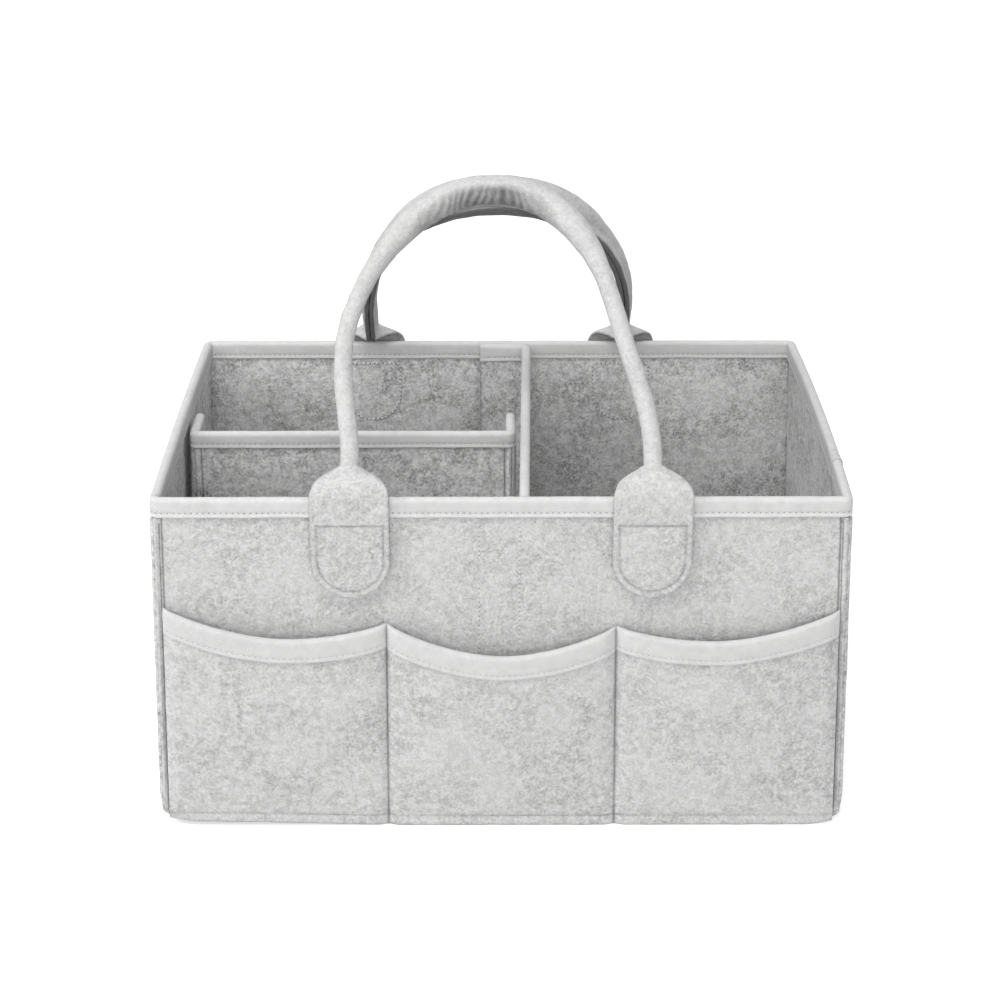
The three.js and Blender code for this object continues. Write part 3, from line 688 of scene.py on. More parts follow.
def panel_ring(left, right, left_inner, right_inner, reach):
    """Once round a panel's plan, its outer face first and then back along its inner face, with how
    much each place is darkened: painted shade in a crease, and a touch at a cut edge."""
    line = panel_line(left, right, left_inner, right_inner, reach)
    along = lengths_along(line)
    fine = [along[-1]]
    for near, far in zip(along[:-1], along[1:]):
        at_end = min(near, along[-1] - far) < END_DETAIL
        fine.extend([near, mix(near, far, 1 / 3), mix(near, far, 2 / 3)] if at_end else [near])
    for step in EDGE_STEPS:
        fine.extend([step, along[-1] - step])
    fine = np.array(sorted(set(fine)))
    line = np.column_stack([np.interp(fine, along, line[:, k]) for k in range(2)])
    tangent = unit(np.gradient(line, fine, axis=0))
    normal = np.column_stack([tangent[:, 1], -tangent[:, 0]])
    half, raw, seam = np.full(len(fine), FELT / 2), np.zeros(len(fine)), np.zeros(len(fine))
    for kind, inwards in ((left, fine), (right, fine[-1] - fine)):
        if kind == "fin":
            length = reach / DIAGONAL
            free = smooth(length * FIN_SQUEEZE_SHARE, length + FIN_FREE_AFTER, inwards)
            half = np.minimum(half, mix(FIN_LAYER / 2, FELT / 2, free))
            seam = np.maximum(seam, 1 - smooth(*SEAM_BLEND, np.abs(inwards - length - CREASE_INSET)))
        rounding = np.sqrt(np.clip(1 - (1 - inwards / CLOTH_EDGE) ** 2, 0, 1))
        half = half * np.where(inwards < CLOTH_EDGE, mix(BLUNT_SHARE, 1, rounding), 1)
        raw = np.maximum(raw, 1 - smooth(*RAW_BLEND, inwards))
    ring = np.vstack([line + normal * half[:, None], (line - normal * half[:, None])[::-1]])
    outer, inner = (np.maximum(raw * RAW_SHADE, seam * deep) for deep in SEAM_SHADES)
    return ring, np.concatenate([outer, inner[::-1]])


def corner_cut(height):
    """How far the rounded lower corners are cut back at a height."""
    below = np.clip(1 - height / FOOT_RISE, 0, 1)
    return FOOT_CUT * (1 - np.sqrt(1 - below**2))


def corner_bend(along, end, height):
    """How far a wall bends inwards at its rounded lower corners."""
    near = smooth(end - FOOT_BEND_LENGTH, end, np.abs(along))
    return near * np.maximum(corner_cut(height) - FIN_REACH, 0)


def panel_levels(low, seam_top, high, groove):
    count = max(2, round((seam_top - low) / LEVEL_STEP))
    levels = list(np.linspace(low + LEVEL_MARGINS[0], seam_top - LEVEL_MARGINS[1], count))
    levels += [low + up for up in LOW_LEVELS] + [seam_top + up for up in TOP_LEVELS] + [high]
    if groove:
        levels = [z for z in levels if abs(z - groove) > GROOVE_MARGIN]
        levels += [groove + up for up in GROOVE_LEVELS]
    return np.array(sorted(levels))


def panel_rings(plan, low, seam_top, high, rounded=False, fin_wave=0.0, seed=0.0, groove=0.0):
    """A panel's plan carried up through its levels. Its lower corners may be rounded, its fins wave
    a little, a seam may run along it, and above the fins its ends are trimmed."""
    full, full_shade = panel_ring(*plan)
    inner_reach = max(plan[2], plan[3])
    outer_face = full[:, 1] < -FELT + TOUCH
    waving = smooth(0, FIN_REACH, -FELT / 2 - full[:, 1]) * fin_wave
    rings, shades = [], []
    for z in panel_levels(low, seam_top, high, groove):
        ring = full.copy()
        if z > seam_top - 2 * TOUCH:
            limit = inner_reach + (FIN_TRIM if z <= seam_top else 0)
            ring = np.clip(ring, (-limit, -FELT), (limit, 0))
        else:
            for k in np.nonzero(waving)[0]:
                side = math.copysign(1, ring[k, 0])
                wave = waving[k] * noise.noise(Vector((side * FIN_WAVE_SEED, seed, z / FIN_WAVE_SIZE)))
                ring[k] += np.array([FIN_WAVE_WAY[0], FIN_WAVE_WAY[1] * side]) * wave
        off = ring[:, 1] + FELT / 2
        flat = np.abs(off) <= FELT / 2 + 0.2 * TOUCH
        squeeze = float(mix(FOOT_SQUEEZE_SHARE, 1, smooth(0, CLOTH_EDGE, z - low)))
        ring[flat, 1] = off[flat] * squeeze - FELT / 2
        # Painted shade along the lowest edge.
        shade = np.maximum(full_shade, FOOT_SHADE * float(1 - smooth(*SEAM_BLEND, z - low)))
        # The groove is pressed in and gets painted shade.
        if groove:
            depth = hill(z - groove, GROOVE_WIDTH)
            ring[outer_face, 1] += GROOVE_DEPTH * depth
            shade[outer_face] = np.maximum(shade[outer_face], GROOVE_SHADE * depth)
        if rounded and z < FOOT_RISE:
            limit = inner_reach + FELT - corner_cut(z)
            ring[:, 0] = np.clip(ring[:, 0], -limit, limit)
            depth = max(-full[:, 1].min() - corner_cut(z), FELT)
            ring[:, 1] = np.maximum(ring[:, 1], -depth) + corner_bend(ring[:, 0], inner_reach, z)
        rings.append(with_height(ring, z))
        shades.append(shade)
    return np.array(rings), np.array(shades)


def box_walls():
    for k, side in enumerate(("front", "right", "rear", "left")):
        along, out = WALL_INNER[k % 2], WALL_INNER[1 - k % 2]
        plan = ("fin", "fin", along, along, FIN_REACH)
        rings, shade = panel_rings(plan, 0, FIN_TOP, WALL_TOP, True, FIN_WAVE, k * WALL_SEED, FOOT_HEIGHT)
        rings[..., 1] -= out
        mottling = np.zeros_like(shade)
        mottling[:, mottling.shape[1] // 2:] = 1
        rings = spread(turned(rings, k * QUARTER))
        obj = rings_object(f"{side}_panel_felt", rings, FELT_CLOTH, shade=shade, mottling=mottling)
        dress(roughen(obj, "walls"), "caddy_box", "felt", f"{side}_panel")
        crease = along - GAP * DIAGONAL - CREASE_ROW_INSET
        for way in (-1, 1):
            facing = (-way * CREASE_FACING[0], -CREASE_FACING[1], 0)
            upright_row(way * crease, -out - FELT, FOOT_HEIGHT, FIN_TOP, facing, k, **CREASE_STITCH)
        if k:
            span = np.arange(-along + FOOT_ROW_INSETS[0], along - FOOT_ROW_INSETS[1], FOOT_ROW_STEP)
            flat = np.column_stack([span, np.full(len(span), -out - FELT + FOOT_ROW_SINK)])
            row = with_height(flat, FOOT_HEIGHT)
            FELT_SEAM.row(spread(turned(row, k * QUARTER)), turned(FORWARDS, k * QUARTER), FELT_PITCH)


def seam_fill(name, body, x, y, low, high, moved=spread):
    """The pressed edges of cloth deep in a corner seam, which close it against the light."""
    section = SEAM_FILL * np.array([(-1, 0), (0, -1), (1, 0), (0, 1)])
    rings = [with_height(section + np.array([x, y]), z) for z in np.arange(low, high, SEAM_FILL_STEP)]
    dress(rings_object(name, moved(np.array(rings)), FELT_CLOTH), body, "felt")


def corner_fills():
    for side, way in (("left", -1), ("right", 1)):
        for end, front in (("front", -1), ("rear", 1)):
            x, y = way * (WALL_INNER[0] + SEAM_FILL_INSET), front * (WALL_INNER[1] + SEAM_FILL_INSET)
            seam_fill(f"{end}_{side}_seam_fill", "caddy_box", x, y, FOOT_HEIGHT, WALL_TOP)
        x, y = INSERT_MIDDLE + way * (SEAM_FILL_INSET + INSERT_INNER), INSERT_BACK - SEAM_FILL_INSET
        low, high = BASE_TOP + 1 * MM, INSERT_TOP - FELT
        seam_fill(f"insert_{side}_seam_fill", "insert", x, y, low, high, moved=np.array)


TAPE_PITCH = 3.2 * MM
TAPE_STITCH = {"radius": 0.3 * MM, "hole": 0.46 * MM, "sink": 0.12 * MM}
FELT_PITCH = 2.8 * MM
RIM_CORNER = 2.6 * MM
OVERLAP_PLACE = -76 * MM
OVERLAP_LENGTH = 16 * MM
OVERLAP_LIFT, OVERLAP_SINK, OVERLAP_DROP = 0.55 * MM, 0.1 * MM, 0.2 * MM
OVERLAP_STEPS = 9
# Painted shade at the overlap's cut end, under its lifted edge.
CUT_TAPE_SHADE = 0.5
TAPE_SEAM = Seam("tape_stitches", "caddy_box", "tape", THREAD)
INSERT_SEAM = Seam("insert_stitches", "insert", "tape", THREAD)
FELT_SEAM = Seam("felt_stitches", "caddy_box", "felt", SUNK_THREAD)
INNER_SEAM = Seam("inner_stitches", "caddy_box", "felt", THREAD)


def upright_row(x, y, low, high, normal, turn=0, seam=None, **sizes):
    """A row of stitches up a wall. The wall may be one of the four, turned from the front."""
    heights = np.arange(low, high, ROW_STEP)
    off = np.array([ROW_WOBBLE * unevenness((x, y, z), ROW_WOBBLE_SIZE) for z in heights])
    path = np.column_stack([x + off, np.full(len(heights), y), heights])
    normal = turned(np.array(normal, float), turn * QUARTER)
    (seam or FELT_SEAM).row(spread(turned(path, turn * QUARTER)), normal, FELT_PITCH, **sizes)


def rim_line(distance):
    half = (WALL_OUTER[0] - FELT / 2, WALL_OUTER[1] - FELT / 2)
    corners = [(-half[0], -half[1]), (half[0], -half[1]), (half[0], half[1]), (-half[0], half[1])]
    return offset_line(corners, RIM_CORNER, distance, closed=True)


def rim_tape():
    rings, weave, shade = folded_tape(rim_line, RIM_TOP, RIM_TAPE_HEIGHT)
    sewn_tape("rim_binding", "rim_tape", TAPE_SEAM, spread(rings), weave, shade, True, **TAPE_STITCH)


def rim_overlap():
    """The tape's end lies over its beginning on the right wall, and its cut edge shows."""
    rings, weaves, shades = [], [], []
    for share in np.linspace(0, 1, OVERLAP_STEPS):
        lift = OVERLAP_LIFT * (1 - share) - OVERLAP_SINK
        height = RIM_TAPE_HEIGHT + OVERLAP_DROP
        profile, across, shade = tape_profile(height, COVER_HALF + lift, COVER_HALF - GAP)
        y = OVERLAP_PLACE + OVERLAP_LENGTH * share
        x, z = WALL_OUTER[0] - FELT / 2 + profile[:, 0], RIM_TOP + max(lift, 0) - profile[:, 1]
        ys = np.full(len(x), y)
        rings.append(np.column_stack([x, ys, z]))
        weaves.append(np.column_stack([ys, across, np.zeros(len(x))]))
        # Painted shade at the first, cut end.
        shades.append(np.maximum(shade, CUT_TAPE_SHADE * (share == 0)))
    obj = tape_object("rim_tape_end", spread(np.array(rings)), np.array(weaves), np.array(shades))
    dress(obj, "caddy_box", "tape")


BASE_CORNER, BASE_BEVEL, BASE_SPACING = 6 * MM, 1.2 * MM, 9 * MM
BASE_REACH = 0.4 * MM
BASE_SHEET = (2 * MM, 6 * MM)      # heights between which the turned-down edge goes over into the sheet


def base():
    """The base's own form, with its sheet drawn out to the bellied walls and into their corners."""
    obj = refined_copy("base_panel", "base_felt", FELT_CLOTH, BASE_BEVEL, BASE_SPACING)
    places = places_of(obj.data) - MIDDLE
    places[:, 0] /= 1 + FLARE / RIM_HALF_WIDTH * (1 - places[:, 2] / RIM_TOP)
    size = np.abs(places[:, :2])
    centre = np.array(WALL_INNER) - GAP - BASE_CORNER
    past = np.maximum(size - centre, 0)
    squared = np.linalg.norm(past, axis=1) / np.maximum(past.max(axis=1), TINY)
    drawn = np.minimum(size, centre) + past * (squared[:, None] + BASE_REACH / BASE_CORNER)
    size = mix(size, drawn, smooth(*BASE_SHEET, places[:, 2])[:, None])
    places[:, :2] = np.copysign(size, places[:, :2])
    move_to(obj.data, spread(places) + MIDDLE)
    dress(roughen(obj, "base"), "caddy_box", "felt", "base_panel")


# Front pockets

POCKET_END = WALL_INNER[0] - FIN_LAYER * DIAGONAL
POCKET_DIVISION = 62.5 * MM
POCKET_LINES = [-POCKET_END, -POCKET_DIVISION, POCKET_DIVISION, POCKET_END]
POCKET_TOPS = [RIM_TOP - drop for drop in (63.4 * MM, 73 * MM, 74.8 * MM, 65.6 * MM)]
POCKET_SAGS = [11.4 * MM, 15.4 * MM, 11.1 * MM]
SAG_POWER = 1.8
POCKET_BELLIES = [6.5 * MM, 9 * MM, 6.5 * MM]
POCKET_TAPE_HEIGHT = 14 * MM
POCKET_PINCH_WIDTH = 6 * MM
POCKET_PINCH_SHARE = 0.5
POCKET_BACK = TAPE + GAP + GAP
POCKET_STATIONS = 56
POCKET_ROWS = 44
POCKET_FIRST_ROW = 11 * MM
POCKET_LOW_ROWS = [up * MM for up in (0.3, 0.6, 1.2, 3, 5, 6, 6.5, 7, 8)]
POCKET_SEAM_WIDTH, POCKET_LINE_WIDTH = 0.9 * MM, 0.8 * MM
POCKET_SEAM_DEPTH, POCKET_EDGE_DEPTH = 0.35 * MM, 0.5 * MM
# Painted shade in the ground seam, along the lower edge and along the two sewn divisions of cloth and tape;
# tape scales the tape's own painted shade and light.
POCKET_SHADES = {"seam": 0.22, "edge": 0.6, "line": 0.65, "tape": 0.6, "tape line": 0.8}
POCKET_TAPE_WAVE, POCKET_TAPE_WAVE_SIZE = 0.4 * MM, 20 * MM
POCKET_TAPE_OUT, POCKET_TAPE_IN = GAP + TAPE * 0.8, GAP * 0.5
POCKET_TAPE_STEEPEST = 0.3         # squared slope beyond which the tape is cut no higher
POCKET_ROW_STITCH = {"radius": 0.32 * MM, "hole": 0.36 * MM}
POCKET_ROW_WOBBLE, POCKET_ROW_WOBBLE_SIZE = 0.3 * MM, 13 * MM
POCKET_ROW_START, POCKET_ROW_STEP, POCKET_ROW_INSET = 1 * MM, 3 * MM, 0.5 * MM
POCKET_GROUND_SINK = 0.42 * MM


def pocket_stations():
    for pocket in range(len(POCKET_SAGS)):
        for i in range(1 if pocket else 0, POCKET_STATIONS + 1):
            yield pocket, (1 - math.cos(math.pi * i / POCKET_STATIONS)) / 2


def pocket_x(pocket, share):
    return mix(POCKET_LINES[pocket], POCKET_LINES[pocket + 1], share)


def pocket_top(pocket, share):
    dip = POCKET_SAGS[pocket] * (1 - abs(2 * share - 1) ** SAG_POWER)
    return mix(POCKET_TOPS[pocket], POCKET_TOPS[pocket + 1], share) - dip


def pocket_middle(pocket, share, height):
    """How far the middle of the pocket's cloth stands out from the wall, and half its thickness."""
    top = pocket_top(pocket, share)
    up = np.clip((height - FOOT_HEIGHT) / (top - FOOT_HEIGHT), 0, 1)
    stand = math.sqrt(max(math.sin(math.pi * share), 0)) * np.sin(up * math.pi / 2)
    nearest = min(abs(line - pocket_x(pocket, share)) for line in POCKET_LINES)
    thickness = FELT * mix(POCKET_PINCH_SHARE, 1, float(smooth(0, POCKET_PINCH_WIDTH, nearest)))
    return POCKET_BACK + POCKET_BELLIES[pocket] * stand + thickness / 2, thickness / 2


def pocket_line_nearness(x):
    return hill(min(abs(line - x) for line in POCKET_LINES[1:3]), POCKET_LINE_WIDTH)


def pocket_panel():
    rings, shades = [], []
    for pocket, share in pocket_stations():
        top = pocket_top(pocket, share) - TAPE - GAP
        heights = np.concatenate([POCKET_LOW_ROWS, np.linspace(POCKET_FIRST_ROW, top, POCKET_ROWS)])
        middle, half = pocket_middle(pocket, share, heights)
        seam = hill(heights - FOOT_HEIGHT, POCKET_SEAM_WIDTH)
        edge = 1 - smooth(0, POCKET_LINE_WIDTH, heights - GAP)
        front = middle + half - POCKET_SEAM_DEPTH * seam - POCKET_EDGE_DEPTH * edge
        z = np.concatenate([heights, heights[::-1]])
        x = np.full(len(z), pocket_x(pocket, share))
        y = corner_bend(x, POCKET_END, z) - WALL_OUTER[1] - np.concatenate([front, (middle - half)[::-1]])
        limit = np.minimum(POCKET_END, WALL_INNER[0] + FELT - corner_cut(z))
        rings.append(np.column_stack([np.clip(x, -limit, limit), y, z]))
        # Painted shade along the divisions, the ground seam and the lower edge.
        line = POCKET_SHADES["line"] * pocket_line_nearness(x[0])
        dark = np.maximum(np.maximum(POCKET_SHADES["seam"] * seam, POCKET_SHADES["edge"] * edge), line)
        shades.append(np.concatenate([dark, dark[::-1]]))
    obj = rings_object("pocket_felt", spread(rings), FELT_CLOTH, shade=np.array(shades))
    nodes = [f"{name}_pocket_panel" for name in ("left", "middle", "right")]
    dress(roughen(obj, "pockets"), "caddy_box", "felt", *nodes)


def pocket_tape():
    stations = list(pocket_stations())
    edge = np.array([(pocket_x(*station), pocket_top(*station)) for station in stations])
    slopes = np.gradient(edge[:, 1], edge[:, 0])
    rings, weaves, shades = [], [], []
    for station, (x, top), slope, along in zip(stations, edge, slopes, lengths_along(edge)):
        height = POCKET_TAPE_HEIGHT * math.sqrt(1 + min(slope**2, POCKET_TAPE_STEEPEST))
        half = pocket_middle(*station, top)[1]
        profile, across, shade = tape_profile(height, half + POCKET_TAPE_OUT, half + POCKET_TAPE_IN)
        wave = POCKET_TAPE_WAVE * noise.noise(Vector((x / POCKET_TAPE_WAVE_SIZE, 3.7, 0)))
        z = top - profile[:, 1]
        middle = np.array([pocket_middle(*station, place)[0] for place in z])
        z = z + wave * profile[:, 1] / height
        rings.append(np.column_stack([np.full(len(z), x), -WALL_OUTER[1] - middle - profile[:, 0], z]))
        weaves.append(np.column_stack([np.full(len(z), along), across, np.zeros(len(z))]))
        # Painted shade where a division is sewn through the tape.
        line = POCKET_SHADES["tape line"] * pocket_line_nearness(x)
        shades.append(np.maximum(shade * POCKET_SHADES["tape"], line))
    tape = spread(np.array(rings)), np.array(weaves), np.array(shades)
    sewn_tape("front_pocket_binding", "pocket_tape", TAPE_SEAM, *tape, hole=0.3 * MM)


def pocket_stitches():
    """The two divisions, sewn through tape and wall, and the row along the ground."""
    for pocket in (1, 2):
        top = pocket_top(pocket, 0)
        taped = top - POCKET_TAPE_HEIGHT
        heights = [*np.arange(POCKET_ROW_START, taped, POCKET_ROW_STEP), taped]
        stand = [sum(pocket_middle(pocket, 0, height)) for height in heights]
        above = np.linspace(taped + POCKET_ROW_INSET, top - POCKET_ROW_INSET, 4)
        stand += [sum(pocket_middle(pocket, 0, top)) + TAPE * 0.7] * len(above)
        heights += list(above)
        x = POCKET_LINES[pocket]
        wobble = [POCKET_ROW_WOBBLE * unevenness((x, 0, z), POCKET_ROW_WOBBLE_SIZE) for z in heights]
        path = np.column_stack([x + np.array(wobble), -WALL_OUTER[1] - np.array(stand), heights])
        FELT_SEAM.row(spread(path), FORWARDS, FELT_PITCH, **POCKET_ROW_STITCH)
    row = [(pocket_x(*station), sum(pocket_middle(*station, FOOT_HEIGHT))) for station in pocket_stations()]
    face = POCKET_GROUND_SINK - WALL_OUTER[1]
    path = np.array([(x, face - stand, FOOT_HEIGHT) for x, stand in row])
    FELT_SEAM.row(spread(path), FORWARDS, FELT_PITCH)


# Dividers

DIVIDER_FRONT = 12.6 * MM
DIVIDER_REAR = 17 * MM
DIVIDER_FLAP_EDGE = 12.8 * MM
DIVIDER_FLAP_Y = WALL_INNER[1] - TAPE - GAP - GAP - TAPE - GAP - FELT / 2
DIVIDER_BEND = 4 * MM
DIVIDER_DIP = 3.4 * MM
DIVIDER_DIP_RANGE = (DIVIDER_FLAP_Y - 12 * MM, DIVIDER_FLAP_Y - 2 * MM)
DIVIDER_ROWS = (-12 * MM, 10 * MM)
FAINT_STITCH = {"hole": 0.4 * MM, "sink": 0.02 * MM}
# Painted shade along the flaps' cut ends, where they meet the walls.
FLAP_EDGE_SHADE = 0.5
FLAP_ROW_INSETS = (2 * MM, 1 * MM)
SHEET_EDGE, SHEET_EDGE_SHARE = 0.5 * MM, 0.7
SHEET_FIRST_ROW, SHEET_ROWS = 4 * MM, 46

INSERT_FRONT = 7 * MM
INSERT_DROP = 9.8 * MM
INSERT_FLAP_LENGTH = 32 * MM
INSERT_TAPE_HEIGHT = 10 * MM
INSERT_FIN_REACH, INSERT_FIN_WAVE = 2.4 * MM, 0.3 * MM
INSERT_SEED = 30
SLIDE_CLEARANCE = 0.6 * MM
HOOK_THICKNESS, HOOK_BEVEL, HOOK_SPACING = 1.2 * MM, 0.2 * MM, 5 * MM
INSERT_TOP = RIM_TOP - INSERT_DROP
INSERT_LEFT = -(WALL_INNER[0] - GAP - TAPE - SLIDE_CLEARANCE)
INSERT_RIGHT = DIVIDER_FRONT - COVER_HALF - SLIDE_CLEARANCE
INSERT_MIDDLE = (INSERT_LEFT + INSERT_RIGHT) / 2
INSERT_INNER = (INSERT_RIGHT - INSERT_LEFT) / 2 - HOOK_THICKNESS - GAP - FELT
INSERT_BACK = FELT - INSERT_FRONT
INSERT_FLAP_INNER = INSERT_FLAP_LENGTH - FELT


def divider_line(distance):
    corners = [
        (-DIVIDER_FLAP_EDGE, -DIVIDER_FLAP_Y), (DIVIDER_FRONT, -DIVIDER_FLAP_Y),
        (DIVIDER_REAR, DIVIDER_FLAP_Y), (-DIVIDER_FLAP_EDGE, DIVIDER_FLAP_Y),
    ]
    return offset_line(corners, DIVIDER_BEND, distance)


def upright_sheet(line_at, low, high):
    """An upright sheet of felt along a line, with slightly rounded lower edges."""
    levels = [low, low + SHEET_EDGE, *np.linspace(low + SHEET_FIRST_ROW, high, SHEET_ROWS)]
    rings = []
    for k, z in enumerate(levels):
        half = FELT / 2 * (SHEET_EDGE_SHARE if k == 0 else 1)
        rings.append(with_height(np.vstack([line_at(half), line_at(-half)[::-1]]), z))
    return np.array(rings)


def divider_dip(rings):
    """The divider's front flap is sewn a little lower than the rim that it lies behind."""
    rings[..., 2] -= DIVIDER_DIP * smooth(*DIVIDER_DIP_RANGE, -rings[..., 1])
    return rings


def centre_divider():
    rings = divider_dip(upright_sheet(divider_line, BASE_TOP + GAP + DIVIDER_DIP, WALL_TOP))
    shade = np.zeros(rings.shape[:2])
    half = rings.shape[1] // 2
    # Painted shade along the flaps' cut ends.
    shade[:, [0, half - 1, half, -1]] = FLAP_EDGE_SHADE
    obj = rings_object("divider_felt", rings, FELT_CLOTH, shade=shade, mottling=np.ones_like(shade))
    dress(roughen(obj, "divider"), "caddy_box", "felt", "centre_divider")
    rings, weave, shade = folded_tape(divider_line, RIM_TOP, RIM_TAPE_HEIGHT, seed=4.0)
    tape = divider_dip(rings), weave, shade
    sewn_tape("centre_divider_binding", "divider_tape", TAPE_SEAM, *tape, **TAPE_STITCH)
    flap_face, high = DIVIDER_FLAP_Y - FELT / 2, RIM_TOP - RIM_TAPE_HEIGHT - FLAP_ROW_INSETS[1]
    for place in DIVIDER_ROWS:
        for turn, x in ((0, place), (2, -place)):
            upright_row(x, flap_face, BASE_TOP + FLAP_ROW_INSETS[0], high, FORWARDS, turn)
        for turn, x in ((0, place), (2, -place)):
            upright_row(x, -WALL_OUTER[1], FOOT_HEIGHT, high, FORWARDS, turn, INNER_SEAM, **FAINT_STITCH)


def insert_sheets():
    low, top = BASE_TOP + GAP, INSERT_TOP - TAPE - GAP
    seam_top = INSERT_TOP - INSERT_TAPE_HEIGHT - GAP
    sheets = [
        ("insert_panel", ("fin", "fin", INSERT_INNER, INSERT_INNER), 0, 0),
        ("insert_left_flap", ("plain", "fin", INSERT_FLAP_INNER, 0), -1, -INSERT_INNER),
        ("insert_right_flap", ("fin", "plain", 0, INSERT_FLAP_INNER), 1, INSERT_INNER),
    ]
    for k, (node, ends, quarter, off) in enumerate(sheets):
        plan = (*ends, INSERT_FIN_REACH)
        rings, shade = panel_rings(plan, low, seam_top, top, False, INSERT_FIN_WAVE, INSERT_SEED + k)
        rings = turned(rings, quarter * QUARTER) + np.array([INSERT_MIDDLE + off, INSERT_BACK, 0])
        obj = rings_object(node + "_felt", rings, FELT_CLOTH, shade=shade, mottling=np.ones_like(shade))
        dress(roughen(obj, "insert"), "insert", "felt", node)


def insert_line(distance):
    half, back = INSERT_INNER + FELT / 2, -FELT / 2
    corners = [(-half, INSERT_FLAP_INNER), (-half, back), (half, back), (half, INSERT_FLAP_INNER)]
    return offset_line(corners, FELT / 2, distance) + np.array([INSERT_MIDDLE, INSERT_BACK])


def insert_tape():
    tape = folded_tape(insert_line, INSERT_TOP, INSERT_TAPE_HEIGHT, seed=8.0)
    sewn_tape("insert_binding", "insert_tape", INSERT_SEAM, *tape, **TAPE_STITCH)


def hook_strips():
    for end in ("left", "right"):
        node = f"insert_{end}_hook_strip"
        obj = refined_copy(node, node + "_hooks", HOOKS, HOOK_BEVEL, HOOK_SPACING)
        dress(obj, "insert", "hook_strip", node)


# Handles

HANDLE_HALF_SPACING = 82 * MM
TAB_HALF = 21.5 * MM
HINGE_HEIGHT = RIM_TOP - 14.8 * MM
TAB_DROP = 42 * MM
HANDLE_RISE = 15.5 * MM
HANDLE_BEND = 14 * MM
MEETING_GAP = 0.8 * MM
ARCH_REACHES = {"front": 199 * MM, "rear": 194 * MM}
SWAYS = {"front": -9.3 * MM, "rear": 0.5 * MM}
RIGHT_LIMB_SHIFTS = {"front": 0.0, "rear": -4 * MM}
SWAY_START, SWAY_END = 40 * MM, 118 * MM
SWAY_RETURN_SHARE = 0.5
NECKS = {"front": (16 * MM, 35 * MM), "rear": (10 * MM, 30 * MM)}
LIMB_LENGTH = 55 * MM
SHOULDER_POWER = 1.8
LIMB_RADIUS, GRIP_RADIUS = 5 * MM, 9 * MM
GRIP_START = 140 * MM
FIN_LENGTH = 5.5 * MM
ROLL_SLIT = 0.3 * MM
FULLNESS_POWER = 0.9
TAB_MIDDLE_Y = RIM_HALF_DEPTH + GAP + FELT / 2
ROLL_INSET = LIMB_RADIUS - FELT / 2
FIN_SHARE = 1 / 7                  # of the strip's half width that is the raw edge's fin
TAB_SEAM_INSET = 3.5 * MM
LEAN_STEPS = 40
ARCH_STEPS = 220
CORE_SIDES = 16
TAB_TIP_HALF = 0.5 * MM
TAB_REACHES = np.arange(-26.5 * MM, -2 * MM, 1.5 * MM)
HINGE_REACHES = np.arange(-1.6 * MM, 2 * MM, 0.4 * MM)
LIMB_START, LIMB_STEP, NECK_STEPS = 3 * MM, 1.3 * MM, 22
LIMB_REACHES = [43 * MM, 49 * MM, LIMB_LENGTH]
TAB_END_UPS = np.array([0, 0.12, 0.4, 0.9, 1.6, 2.5, 3.6, 5, 6.5, 8, 9.5, 11, 12.5, 14]) * MM
TAB_SEAM_WIDTH, TAB_SEAM_TOP = 0.75 * MM, 0.8 * MM
TAB_STITCH_SINK, TAB_STITCH_OUT = 0.3 * MM, 0.12 * MM
TAB_INNER_STITCH = {"radius": 0.45 * MM, "hole": 0.5 * MM, "sink": -0.1 * MM}
FIN_PLACES = [0, 0.015, 0.04, 0.07, 0.11]
ROLL_PLACES = 22
EDGE_SHADES = (0.2, 0.95)          # of the raw edge where the strip is flat and where it is rolled: partly the cut edge's own darker tone and partly painted shade
# Painted shade in the tab's pressed stitch line, painted light over the roll, and painted shadow inside the
# neck's fold.
TAB_SEAM_SHADE, ROLL_PAINTED_LIGHT, NECK_SHADE = 0.45, -0.12, 0.5
ROLL_MOTTLING = -0.55
RAW_SHARES, THIN_SHARE = (0.005, 0.05), 0.05     # of the strip's half width, beside its raw edge
TAB_SEAM_DEPTH, THIN_DEPTH, LEAST_THICKNESS_SHARE = 0.5 * MM, 0.6 * MM, 0.4
NECK_FOLD = 6 * MM                 # from the stitch row, where the neck's inner shadow sets in
NECK_SHADOW_SHARE = 1.6            # of the neck's end, where that shadow has gone


def lean_at(reach, lean):
    turned_by = np.clip((reach - HANDLE_RISE) / HANDLE_BEND, 0, lean)
    rest = max(reach - HANDLE_RISE - HANDLE_BEND * lean, 0)
    inward = HANDLE_BEND * (1 - math.cos(turned_by)) + rest * math.sin(turned_by)
    up = min(reach, HANDLE_RISE) + HANDLE_BEND * math.sin(turned_by) + rest * math.cos(turned_by)
    return inward, up, turned_by


def resting_lean(arch_reach):
    rolled = roll_depth(GRIP_RADIUS) + GRIP_RADIUS + FIN_LENGTH
    room = TAB_MIDDLE_Y - MEETING_GAP / 2
    low, high = 0.0, math.pi / 2
    for _ in range(LEAN_STEPS):
        lean = (low + high) / 2
        used = lean_at(arch_reach, lean)[0] + rolled * math.cos(lean)
        used += (FELT + ROLL_SLIT / 2) * math.sin(lean)
        low, high = (lean, high) if used < room else (low, lean)
    return low


